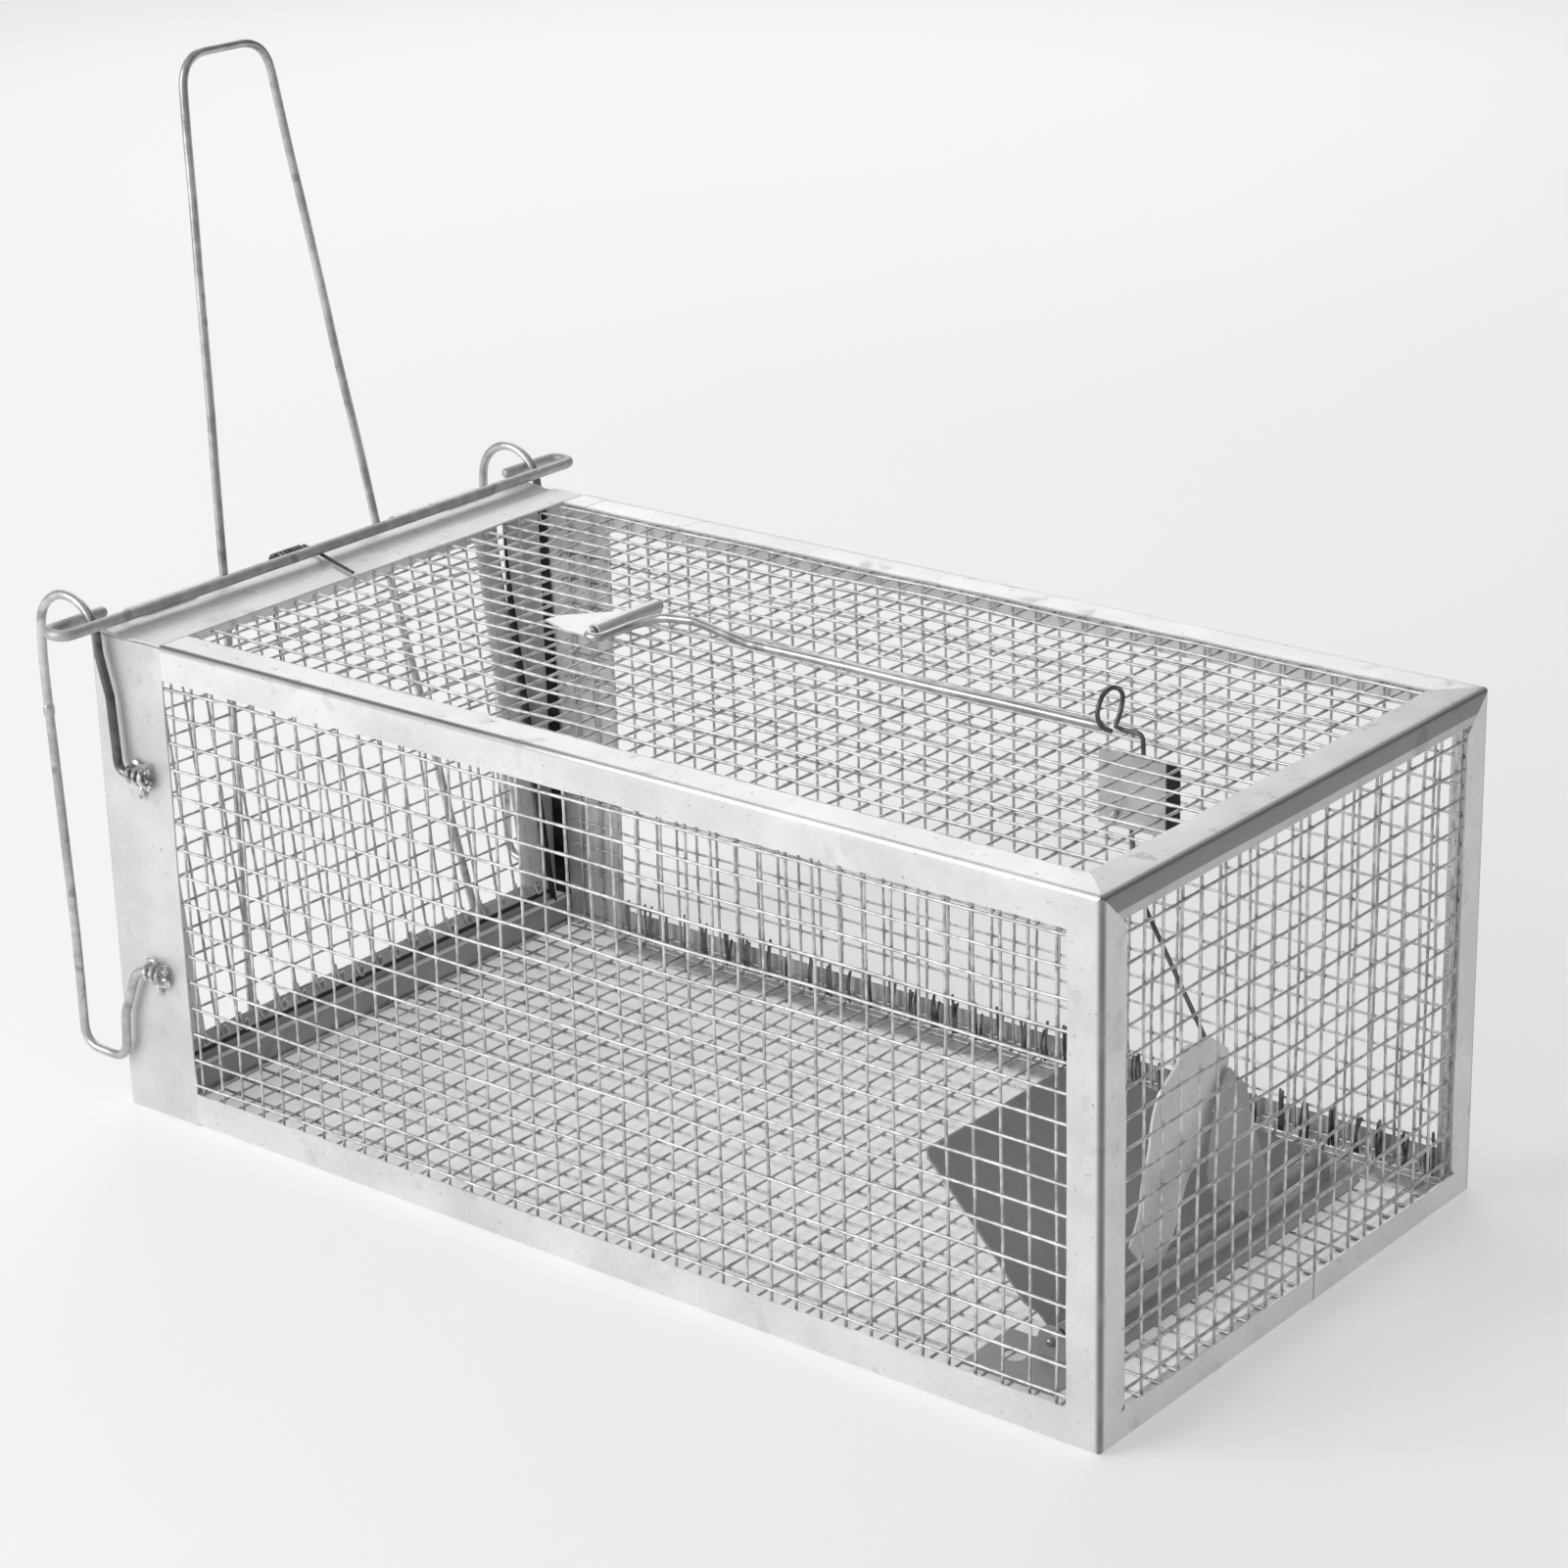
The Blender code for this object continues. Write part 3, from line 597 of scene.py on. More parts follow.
def edge_strips():
    for side, sign, front in (("near", -1, NEAR_PLATE), ("far", 1, FAR_PLATE)):
        wall, seed = sign * HALF, 10 * sign
        edge_strip(side + "_top_strip", "top_strip_" + side, 0, (wall, HEIGHT), (-sign, -1),
                   (TOP_STRIP_IN, STRIP), (front + 0.15, LENGTH), (False, True), BRIGHT,
                   seed + 1)
        edge_strip(side + "_bottom_strip", "bottom_strip_" + side, 0, (wall, 0.0), (-sign, 1),
                   (STRIP, STRIP), (front + 0.15, LENGTH), (False, True), BRIGHT,
                   seed + 2)
        edge_strip(side + "_rear_post", "rear_post_" + side, 2, (LENGTH, wall), (-1, -sign),
                   (STRIP, STRIP), (0.0, HEIGHT), (True, True), BRIGHT, seed + 3)
    far_roof_corner()
    edge_strip("rear_top_strip", "rear_strip_top", 1, (LENGTH, HEIGHT), (-1, -1),
               (REAR_TOP_IN, REAR_TOP_DROP), (-HALF, HALF), (True, True), SHADED_REAR_SHEET, 4)
    edge_strip("rear_bottom_strip", "rear_strip_bottom", 1, (LENGTH, 0.0), (-1, 1),
               (STRIP, REAR_BOTTOM_RISE), (-HALF, HALF), (True, True), SEAMED, 6)


def far_roof_corner():
    """Flat flange of the wider far plate, between the top plate and the far top strip."""
    back, wall, steps = span("front_top_plate")[1].x + 0.2, 0.6, 6
    rows = []
    for k in range(steps + 1):
        y = HALF - wall - (TOP_STRIP_IN - wall) * k / steps
        rows.append([Vector((back + (FAR_PLATE - back) * c / steps, y, HEIGHT - SHEET / 2))
                     for c in range(steps + 1)])
    form = Form()
    form.sheet(rows)
    piece("far_roof_corner", form, "cage", BRIGHT, [], SHEET)


def front_plates():
    """Side plates at the doorway, folded round their front edge, and creased near the foot."""
    for side, sign, width in (("near", -1, NEAR_PLATE), ("far", 1, FAR_PLATE)):
        low, high = span("front_plate_" + side)
        lip = (high.y - low.y)
        section = fold_section(width, lip, per_side=7, arc_steps=6)
        count = 34
        rows = []
        for k in range(count + 1):
            z = low.z + (high.z - low.z) * k / count
            row = []
            for a, b in section:
                bow = 0.5 + noise.noise(Vector((z * 0.035, sign * 7.0, a * 0.08)))
                crease = math.exp(-((z - 10.5) / 1.6) ** 2)
                inset = (0.3 * bow + 0.35 * crease) * min(1.0, a / 6.0)
                row.append(Vector((a, sign * (HALF - b - inset), z)))
            rows.append(row)
        form = Form()
        form.sheet(rows)
        piece(side + "_front_plate", form, "cage", PLATE,
              ["front_plate_" + side], SHEET)


def top_plate():
    """Plate over the doorway: flat at the back, with a soft step and a lip folded down."""
    low, high = span("front_top_plate")
    half = SHEET / 2
    flat = high.z - half
    section = [(high.x - half - 1.1 * k, flat) for k in range(8)]
    section += [(13.4, flat - 0.05), (12.4, flat - 0.35), (11.4, flat - 0.75),
                (10.4, flat - 0.85), (9.4, flat - 0.6), (8.4, flat - 0.25), (7.2, flat),
                (5.4, flat), (3.6, flat)]
    fold = 1.0
    section += arc(low.x + half + fold, flat - fold, fold, 90, 180, 5)
    section += [(low.x + half, high.z - 3.2), (low.x + half, low.z + half)]
    rows = []
    count = 56
    for k in range(count + 1):
        y = low.y + (high.y - low.y) * k / count
        row = []
        for x, z in section:
            sway = noise.noise(Vector((y * 0.05, 3.0, x * 0.2)))
            row.append(Vector((x - 0.15 * abs(sway), y, z + min(0.0, 0.18 * sway - 0.06))))
        rows.append(row)
    form = Form()
    form.sheet(rows)
    piece("doorway_top_plate", form, "cage", ROOF_PLATE, ["front_top_plate"], SHEET)


def sill():
    """Floor strip under the door. Its upright lip is rolled over at the top."""
    low, high = span("door_sill")
    half, roll = SHEET / 2, 0.55
    back = high.x - half
    section = [(low.x + half + 1.1 * k, half) for k in range(10)]
    section += [(back - 0.3, half + 0.1), (back, half + 0.5), (back, 3.2), (back, 6.0)]
    section += arc(back - roll, high.z - half - roll, roll, 0, 190, 7)
    rows = []
    count = 46
    for k in range(count + 1):
        y = low.y + (high.y - low.y) * k / count
        sway = noise.noise(Vector((y * 0.06, 9.0, 0.0)))
        rows.append([Vector((x - abs(sway) * 0.25 * z / high.z, y, z)) for x, z in section])
    form = Form()
    form.sheet(rows)
    piece("doorway_sill", form, "cage", SILL, ["door_sill"], SHEET)


# ---------------------------------------------------------------- netting

def netting(name, node, body, corner, u, v, size, inward, seed, tails=True, open_cell=None):
    """Welded netting: two layers of crossing wires, thicker at the welds, with bent tails.

    u and v are the directions of its two runs of wires, and size is how long each run is.
    open_cell is a place, from the corner, that the middle of one cell is set on.
    """
    corner, u, v, inward = (Vector(a) for a in (corner, u, v, inward))
    pick = random.Random(seed)
    form = Form()
    bulge_seed = Vector((seed * 3.1, seed, 0))

    def lifted(s, t, layer):
        hold = min(1.0, s / 12, (size[0] - s) / 12, t / 12, (size[1] - t) / 12)
        spot = corner + u * s + v * t
        drift = noise.noise_vector(spot * 0.03 + bulge_seed)
        return spot + (u * drift.x + v * drift.y) * 0.45 + inward * (
            layer * NET_WIRE * 0.85 + 0.55 * max(hold, 0.0) * drift.z)

    for layer, (long, wide) in ((-1, (0, 1)), (1, (1, 0))):
        lines = int(size[wide] / PITCH)
        edge = (size[wide] - lines * PITCH) / 2
        if open_cell:
            edge = (open_cell[wide] - PITCH / 2) % PITCH
            lines = int((size[wide] - edge) / PITCH)
        steps = int(size[long] / PITCH) * 2
        for k in range(lines + 1):
            offset = edge + PITCH * k
            path, radii = [], []
            cross = (size[long] - steps * PITCH / 2) / 2
            for step in range(-1, steps + 2):
                place = min(max(cross + PITCH / 2 * step, 0.0), size[long])
                s, t = (place, offset) if long == 0 else (offset, place)
                path.append(lifted(s, t, layer))
                radii.append(NET_WIRE * (1.16 if step % 2 == 0 else 0.94))
            if tails:
                path, radii = tailed(path, radii, inward, pick)
            form.tube(path, radii, sides=6, blunt=False)
    return piece(name, form, body, NET, [node], crease=80.0)


def tailed(path, radii, inward, pick):
    """Turns both cut ends of a netting wire inward, each a little differently."""
    def tail(end, inner):
        out = (end - inner).normalized()
        lean = Vector((pick.uniform(-1, 1), pick.uniform(-1, 1), pick.uniform(-1, 1))) * 0.5
        reach = pick.uniform(0.7, 1.7)
        return [end + out * 0.5 + inward * 0.5 * reach,
                end + out * 0.1 + inward * 1.3 * reach + lean]

    head, back = tail(path[0], path[1]), tail(path[-1], path[-2])
    thin = [radii[0] * 0.9] * 2
    return head[::-1] + path + back, thin + radii + thin


def far_wire_ends():
    """Cut wire ends that stand up in small clusters behind the far bottom strip."""
    pick = random.Random(12)
    form = Form()
    place = FAR_PLATE + 3.0
    while place < LENGTH - 6.0:
        for _ in range(3):
            foot = place + pick.uniform(-0.9, 0.9)
            y = HALF - 1.9 - pick.uniform(0.0, 0.7)
            top = 8.0 + pick.uniform(0.5, 4.5)
            middle = (foot + pick.uniform(-0.5, 0.5), y - 0.3, (top + 2.0) / 2)
            form.tube(flowing([(foot, y, 2.0), middle, (foot + pick.uniform(-0.8, 0.8), y, top)],
                              3), 0.36, 6)
        place += PITCH
    piece("far_standing_wire_ends", form, "cage", ENDS, [])


def cage_netting():
    roof, floor = span("netting_top"), span("netting_bottom")
    wall, rear = span("netting_near"), span("netting_rear")
    mid = span("netting_far")
    ends = {"netting_top": (roof[0].x - 0.5, roof[0].y, (roof[0].z + roof[1].z) / 2),
            "netting_bottom": (floor[0].x, floor[0].y, (floor[0].z + floor[1].z) / 2),
            "netting_near": (wall[0].x, (wall[0].y + wall[1].y) / 2, wall[0].z),
            "netting_far": (mid[0].x, (mid[0].y + mid[1].y) / 2, mid[0].z),
            "netting_rear": ((rear[0].x + rear[1].x) / 2, rear[0].y, rear[0].z)}
    wide, tall = roof[1].y - roof[0].y, wall[1].z - wall[0].z
    netting("roof_netting", "netting_top", "cage", ends["netting_top"], (1, 0, 0), (0, 1, 0),
            (roof[1].x - roof[0].x, wide), (0, 0, -1), 1,
            open_cell=(STEM_X - ends["netting_top"][0], STEM_Y - roof[0].y))
    netting("floor_netting", "netting_bottom", "cage", ends["netting_bottom"], (1, 0, 0),
            (0, 1, 0), (floor[1].x - floor[0].x, wide), (0, 0, 1), 2)
    netting("near_netting", "netting_near", "cage", ends["netting_near"], (1, 0, 0), (0, 0, 1),
            (wall[1].x - wall[0].x, tall), (0, 1, 0), 3)
    netting("far_netting", "netting_far", "cage", ends["netting_far"], (1, 0, 0), (0, 0, 1),
            (wall[1].x - wall[0].x, tall), (0, -1, 0), 4)
    netting("closed_end_netting", "netting_rear", "cage", ends["netting_rear"], (0, 1, 0),
            (0, 0, 1), (wide, tall), (-1, 0, 0), 5)


# ---------------------------------------------------------------- hinge, spring and guides

def curled_strap(name, node, body, section, y_low, y_high, finish, seed):
    """Sheet strap that is curled along y."""
    rows = []
    for k in range(9):
        y = y_low + (y_high - y_low) * k / 8
        sway = 0.08 * noise.noise(Vector((y * 0.3, seed, 0)))
        rows.append([Vector((x + sway, y, z)) for x, z in section])
    form = Form()
    form.sheet(rows)
    return piece(name, form, body, finish, [node], SHEET, edge=0.08)


def hinge():
    pin = span("hinge_pin")
    radius = (pin[1].z - pin[0].z) / 2
    form = Form()
    form.tube(hand_bent([(HINGE_X, pin[0].y, HINGE_Z), (HINGE_X, pin[1].y, HINGE_Z)], 0.05, 2),
              radius, 14)
    piece("hinge_rod", form, "cage", WIRE, ["hinge_pin"])
    top = HINGE_Z + KNUCKLE_R
    over = arc(HINGE_X, HINGE_Z, KNUCKLE_R, 350, 90, 18)
    over += [(HINGE_X + 1.2, top), (2.0, top + 0.05), (3.2, top + 0.02), (4.0, top - 0.1)]
    under = arc(HINGE_X, HINGE_Z, KNUCKLE_R, -20, 180, 16)
    under += [(p.x, p.z) for p in (door_point(0, drop, 1.85) for drop in (2.8, 5.0, 8.5))]
    for side in ("near", "far"):
        for kind, body, section in (("hinge", "cage", over), ("door", "door", under)):
            node = "%s_knuckle_%s" % (kind, side)
            low, high = span(node)
            curled_strap("%s_%s_knuckle" % (side, kind), node, body, section, low.y, high.y,
                         BRIGHT, len(node))


def closing_spring():
    """Close-wound coil round the hinge rod. One arm lies over the top plate, one on the door."""
    radius, pitch, turns, steps, first_y, thick = 2.2, 1.15, 8, 18, -11.0, 0.4
    coil = []
    for k in range(turns * steps + 1):
        angle = math.radians(90) - k * math.tau / steps
        coil.append(Vector((HINGE_X - radius * math.cos(angle), first_y + pitch * k / steps,
                            HINGE_Z + radius * math.sin(angle))))
    last_y = first_y + pitch * turns
    arm_z = HEIGHT + 0.65
    arm = rounded([coil[-1], (1.6, last_y - 0.5, arm_z + 0.2), (22.0, -9.4, arm_z)], 0.8)
    form = Form()
    form.tube(coil + arm[1:], thick, 8)
    piece("closing_spring", form, "cage", SPRING, ["torsion_spring"])
    low, high = span("spring_door_arm")
    y = (low.y + high.y) / 2
    form = Form()
    form.tube(hand_bent([door_point(y, 3.4, 2.1), door_point(y, 24.0, 2.1)], 0.08, 4), thick, 8)
    piece("closing_spring_door_arm", form, "door", SPRING, ["spring_door_arm"])


def guide_wires():
    """Bent wire guide on each front plate, arched over the cage's top corner."""
    upper, lower = GUIDE_FEET
    arch = arc(ARCH_X, ARCH_Z, 9.0, 0, 180, 22)
    up = rounded([(15.2, 0, upper), (8.4, 0, upper), (7.6, 0, 101.0), (5.0, 0, 110.5)], 3.0)
    down = rounded([(-13.6, 0, 106.0), (-13.4, 0, 93.5), (-11.4, 0, 40.0), (-11.2, 0, 12.4),
                    (2.6, 0, 12.2), (3.4, 0, 24.0), (8.4, 0, lower), (15.2, 0, lower)], 5.0)
    run = [(p.x, p.z) for p in up] + arch + [(p.x, p.z) for p in down]
    bead = 93.5
    for side, sign in (("near", -1), ("far", 1)):
        path = hand_bent([(x, sign * GUIDE_Y, z) for x, z in run], 0.12, 3 + sign, 3.0)
        form = Form()
        form.tube(path, GUIDE_R, 14)
        swell = [Vector((-13.42, sign * GUIDE_Y, bead + d)) for d in (-1.6, -1.0, 0, 1.0, 1.6)]
        form.tube(swell, [GUIDE_R, GUIDE_R * 1.18, GUIDE_R * 1.26, GUIDE_R * 1.2, GUIDE_R], 14,
                  blunt=False)
        piece(side + "_guide", form, "cage", GUIDE, ["guide_wire_" + side])


def guide_clinches():
    """Clinched ends of the guides: bent wire ends and a run of solder."""
    for side, sign in (("near", -1), ("far", 1)):
        for level, height in zip(("upper", "lower"), GUIDE_FEET):
            seed = height + sign
            out = HALF + 0.5
            form = Form()
            pick = random.Random(int(seed))
            for turn in range(3):
                x = 12.0 + turn * 2.0
                tip = pick.uniform(1.6, 3.2)
                loop = [(x, out, height - tip), (x + 0.4, out + 2.3, height - 1.2),
                        (x + 0.5, out + 3.0, height + 0.3), (x + 0.1, out + 1.9, height + 1.7),
                        (x + pick.uniform(-0.8, 0.8), out, height + tip)]
                form.tube(flowing([(a, sign * b, c) for a, b, c in loop], 5), 0.55, 8)
            form.lump((15.5, sign * (out + 0.4), height - 1.8), (2.3, 0.7, 1.5), seed)
            form.lump((12.2, sign * (out + 0.3), height + 2.3), (1.6, 0.5, 0.9), seed + 1)
            form.lump((16.5, sign * (out + 0.9), height + 0.9), (1.3, 1.0, 1.1), seed + 2)
            form.lump((13.6, sign * (out + 0.2), height - 4.3), (1.0, 0.45, 1.6), seed + 3)
            piece("%s_%s_clinch" % (side, level), form, "cage", SOLDER,
                  ["guide_strap_%s_%s" % (level, side)])


def lock_bar():
    """Straight bar whose two ends are bent back in a tight eye round the guides."""
    low, high = span("lock_bar")
    radius = (high.z - low.z) / 2
    z = (low.z + high.z) / 2
    front, back, end, tail = low.x + radius, high.x - radius, high.y - radius, 65.0
    run = rounded([(front, -tail, z), (front, -end, z), (back, -end, z), (back, end, z),
                   (front, end, z), (front, tail, z)], (back - front) / 2, 12)
    form = Form()
    form.tube(hand_bent(run, 0.1, 8), radius, 16)
    piece("sliding_lock_bar", form, "lock_bar", BAR, ["lock_bar"])


# ---------------------------------------------------------------- door

def door_point(y, drop, out):
    """Point on the tilted door: drop below the hinge axis, out in front of it."""
    return Vector((HINGE_X + drop * math.sin(DOOR_TILT) - out * math.cos(DOOR_TILT), y,
                   HINGE_Z - drop * math.cos(DOOR_TILT) - out * math.sin(DOOR_TILT)))


def door_border(name, node, along_y, low, high, fixed, finish, seed):
    """Strip folded double over the netting's edge, crimped unevenly."""
    count = int((high - low) / 3.5)
    middle, reach = fixed
    rings = []
    for k in range(count + 1):
        place = low + (high - low) * k / count
        pinch = noise.noise(Vector((place * 0.12, seed, 0)))
        half_thick = 0.55 + 0.05 * pinch
        half_wide = reach + 0.1 * noise.noise(Vector((place * 0.1, seed + 4, 0)))
        loop = []
        for s in range(14):
            turn = math.tau * s / 14
            c, n = math.cos(turn), math.sin(turn)
            wide = math.copysign(abs(c) ** 0.35, c) * half_wide
            deep = math.copysign(abs(n) ** 0.7, n) * half_thick
            y, drop = (place, middle + wide) if along_y else (middle + wide, place)
            loop.append(door_point(y, drop, DOOR_PLANE + deep))
        rings.append(loop if along_y else loop[::-1])
    form = Form()
    form.loft(rings)
    return piece(name, form, "door", finish, [node])


def door():
    half = DOOR_BORDER / 2
    door_border("door_top_border", "door_strip_top", True, -DOOR_HALF, DOOR_HALF,
                (DOOR_TOP + half, half), BRIGHT, 1)
    door_border("door_bottom_border", "door_strip_bottom", True, -DOOR_HALF, DOOR_HALF,
                (DOOR_BOTTOM - half, half), DOOR_FOOT, 2)
    for side, sign in (("near", -1), ("far", 1)):
        door_border("door_%s_border" % side, "door_strip_" + side, False,
                    DOOR_TOP + DOOR_BORDER - 0.4, DOOR_BOTTOM - DOOR_BORDER + 0.4,
                    (sign * (DOOR_HALF - half), half), BRIGHT, 3 + sign)
    inner = DOOR_HALF - 5.0
    low, high = DOOR_BOTTOM - 5.0, DOOR_TOP + 5.0
    corner = door_point(-inner, low, DOOR_PLANE)
    up = (door_point(-inner, high, DOOR_PLANE) - corner).normalized()
    inward = up.cross(Vector((0, 1, 0))).normalized()
    netting("door_mesh", "door_netting", "door", corner, (0, 1, 0), up,
            (2 * inner, low - high), -inward, 6, tails=False)


def door_wire_ends():
    """Curled ends of the door's wires, pressed against its bottom border."""
    form = Form()
    for k in range(19):
        y = -57.0 + PITCH * k + 1.2 * noise.noise(Vector((k * 3.3, 1.0, 0.0)))
        drop = DOOR_BOTTOM - 5.0 + 1.5 * noise.noise(Vector((k * 2.1, 5.0, 0.0)))
        curl = [(y, drop - 5.0, 0.0), (y + 0.2, drop - 2.0, -0.4), (y + 1.1, drop - 0.4, -0.5),
                (y + 2.2, drop - 1.4, -0.5), (y + 1.6, drop - 2.7, -0.5), (y + 0.5, drop - 2.3, -0.4)]
        form.tube(flowing([door_point(*point) for point in curl], 4), 0.34, 6)
    piece("door_curled_wire_ends", form, "door", NET, [])


def jamb_gaps():
    """Dark sheets of painted shadow in the gaps beside the door and along the far front plate."""
    for side, sign in (("near", -1), ("far", 1)):
        rows, seam = [], []
        for k in range(27):
            z = 8.0 + 4.0 * k
            # painted shadow in the gap between the door's edge and the jamb
            edge = max(1.6, HINGE_X + (HINGE_Z - z) * math.tan(DOOR_TILT) + 1.2)
            rows.append([Vector((0.9 + (edge - 0.9) * c / 3, sign * 63.4, z)) for c in range(4)])
            # this second strip is painted shadow in the slot along the inside of the front plate
            right = 12.5 - 2.6 * k / 26
            seam.append([Vector((7.6 + (right - 7.6) * c / 3, sign * (HALF - 1.15), z))
                         for c in range(4)])
        form = Form()
        form.sheet(rows)
        form.sheet(seam)
        piece(side + "_jamb_gap_shadows", form, "cage", SHADED, [], 0.3)


def handle():
    """Long wire handle: legs down the door's outside, closed in a rounded crown."""
    foot, waist, crown = 38.6, 25.0, 12.8
    left = [door_point(-foot, DOOR_BOTTOM - 3.0, HANDLE_OUT), door_point(-waist, 0, HANDLE_OUT),
            door_point(-crown, -117.3, HANDLE_OUT)]
    right = [Vector((p.x, -p.y, p.z)) for p in reversed(left)]
    form = Form()
    form.tube(hand_bent(rounded(left + right, 8.5, 10), 0.22, 5), 1.0, 14)
    piece("lift_handle", form, "door", WIRE, ["door_handle"])


# ---------------------------------------------------------------- trigger and catch

def roof_clip():
    """Pointed plate on the roof. Its rear edge is curled round the set rod's axle."""
    low, high = span("trigger_clip")
    flat = low.z + SHEET / 2
    section = [(low.x + (ROD_X - low.x) * k / 10, flat) for k in range(10)]
    section += arc(ROD_X, ROD_Z, KNUCKLE_R, 270, 520, 16)
    tip = low.x
    left = [(-9.0, tip), (-11.9, tip + 8.0), (-12.0, high.x + 9)]
    right = [(-5.0, tip), (9.0, tip + 13.0), (9.0, high.x + 9)]
    rows = []
    for c in range(15):
        row = []
        for x, z in section:
            a, b = along(left, max(x, tip)), along(right, max(x, tip))
            y = a + (b - a) * c / 14
            lift = 0.25 * noise.noise(Vector((x * 0.2, y * 0.15, 2.0))) if x < ROD_X - 3 else 0.0
            row.append(Vector((x, y, z + abs(lift))))
        rows.append(row)
    form = Form()
    form.sheet(rows)
    piece("roof_clip", form, "cage", BRIGHT, ["trigger_clip"], SHEET, edge=0.08)


def set_rod():
    """Rod along the roof: axle in the clip, a tight return bend, then a long arm."""
    low = ROD_Z - 0.1
    tip = span("trigger_rod")[1].x
    run = [(ROD_X, 10.5, ROD_Z), (ROD_X, -14.6, ROD_Z), (ROD_X + 3.4, -14.6, low),
           (ROD_X + 3.6, -3.0, low), (106.0, 0.6, low + 1.6), (115.0, 0.6, low + 2.4),
           (133.0, -2.4, 117.9), (tip, -1.8, 117.9)]
    form = Form()
    form.tube(hand_bent(rounded(run, 6.0, 8), 0.15, 6), 1.0, 14)
    piece("set_rod", form, "trigger_rod", WIRE, ["trigger_rod"])


def catch():
    """Catch plate under the roof, its pin, and the one thin wire that holds the set rod."""
    low, high = span("catch_bracket")
    plane = low.y + SHEET / 2
    rows = []
    columns = [(low.x, plane), (low.x + 4, plane), (CATCH_X + 2, plane), (low.x + 12, plane),
               (237.4, plane), (238.0, plane + 0.1), (238.5, plane + 0.4), (240.4, plane + 1.7)]
    for k in range(13):
        z = low.z + (high.z - low.z) * k / 12
        rows.append([Vector((x, y + 0.12 * noise.noise(Vector((x * 0.2, z * 0.15, 1))), z))
                     for x, y in columns])
    form = Form()
    form.sheet(rows)
    piece("catch_plate", form, "cage", CATCH, ["catch_bracket"], SHEET, edge=0.08)

    pin = span("catch_pin")
    form = Form()
    form.tube([(CATCH_X, pin[0].y, CATCH_Z), (CATCH_X, pin[1].y, CATCH_Z)], 0.6, 10)
    form.tube(flowing([(CATCH_X - 0.5, plane - 0.6, CATCH_Z - 2.6), (CATCH_X - 0.8, plane - 1.3,
              CATCH_Z - 0.6), (CATCH_X + 0.4, plane - 1.2, CATCH_Z + 0.9)], 5), 0.45, 8)
    piece("catch_rivet", form, "cage", SOLDER, ["catch_pin"])

    loop_x, lever_y, eye = 225.3, 0.3, 1.45
    loop = [(-1.8, 117.2), (-5.4, 119.4), (-6.8, 122.6), (-4.9, 125.8), (-1.2, 126.3),
            (1.8, 124.3), (1.5, 121.0), (-0.5, 117.9)]
    head = flowing([(loop_x, y, z) for y, z in loop], 5)
    stem = rounded([head[-1], (226.6, lever_y, 117.2), (231.3, lever_y, 117.3),
                    (231.6, lever_y, 112.5)], 1.6, 5)
    turns, steps = [], 18
    for k in range(steps + 3):
        angle = math.radians(20) + k * math.tau / steps
        turns.append(Vector((CATCH_X + eye * math.cos(angle), lever_y + 1.25 * k / steps,
                             CATCH_Z + eye * math.sin(angle))))
    tail = [Vector((229.4, 1.6, 83.0)), Vector((246.6, 1.2, 54.6))]
    form = Form()
    form.tube(head + stem[1:] + turns + tail, 0.5, 10)
    piece("catch_wire", form, "catch", SPRING, ["catch_lever"])


# ---------------------------------------------------------------- pedal

def bent_panel(name, node, body, grid, origin, across, up, dent, finish, thickness, seed):
    """Sheet panel from a (u, v) grid, with soft dents across its face."""
    across, up = Vector(across).normalized(), Vector(up).normalized()
    normal, origin = across.cross(up), Vector(origin)
    form = Form()
    rows = []
    for line in grid:
        rows.append([origin + across * u + up * v
                     + normal * dent * noise.noise(Vector((u * 0.09, v * 0.09, seed)))
                     for u, v in line])
    form.sheet(rows)
    return piece(name, form, body, finish, [node], thickness, edge=0.08)


def pedal_mount():
    """Floor strip, two ears and the pin that carry the pedal."""
    low, high = span("pedal_base")
    z = (low.z + high.z) / 2
    left = [(240.0, -42.0), (240.0, 56.0), (244.0, 60.5)]
    right = [(251.5, -42.0), (251.5, 55.0), (249.5, 60.0), (244.6, 60.5)]
    form = Form()
    form.sheet([[Vector((u, v, z + 0.9 * math.exp(-((u - 245.8) / 1.5) ** 2))) for u, v in line]
                for line in panel(left, right, 26, 6)])
    foot = panel([(229.0, -59.0), (229.0, -42.0)], [(251.5, -59.0), (251.5, -42.0)], 18, 24)
    hole, hole_r = Vector((236.0, -50.5)), 2.6
    rows = []
    for line in foot:
        row = []
        for u, v in line:
            gap = Vector((u, v)) - hole
            if gap.length < hole_r:
                gap = gap.normalized() * hole_r if gap.length > 0.2 else Vector((hole_r, 0))
            row.append(Vector((hole.x + gap.x, hole.y + gap.y, z)))
        rows.append(row)
    form.sheet(rows)
    form.faces = [face for face in form.faces
                  if any((form.points[k].xy - hole).length > hole_r + 0.05 for k in face)]
    piece("pedal_floor_strip", form, "cage", BASE_GREY, ["pedal_base"], SHEET)

    for side in ("near", "far"):
        ear = span("pedal_ear_" + side)
        y = (ear[0].y + ear[1].y) / 2
        crown = [(-3.4, ear[0].z), (-3.4, 7.6), (-2.4, 9.1), (-0.9, ear[1].z)]
        grid = panel(crown, [(-u, v) for u, v in crown], 8, 8)
        bent_panel("pedal_%s_ear" % side, "pedal_ear_" + side, "cage", grid, (PEDAL_X, y, 0),
                   (1, 0, 0), (0, 0, 1), 0.1, LEAF, SHEET, 3)
    pin = span("pedal_pin")
    form = Form()
    form.tube(hand_bent([(PEDAL_X, pin[0].y, PEDAL_Z), (PEDAL_X, pin[1].y, PEDAL_Z)], 0.04, 2),
              (pin[1].z - pin[0].z) / 2, 12)
    piece("pedal_pivot_pin", form, "cage", WIRE, ["pedal_pin"])


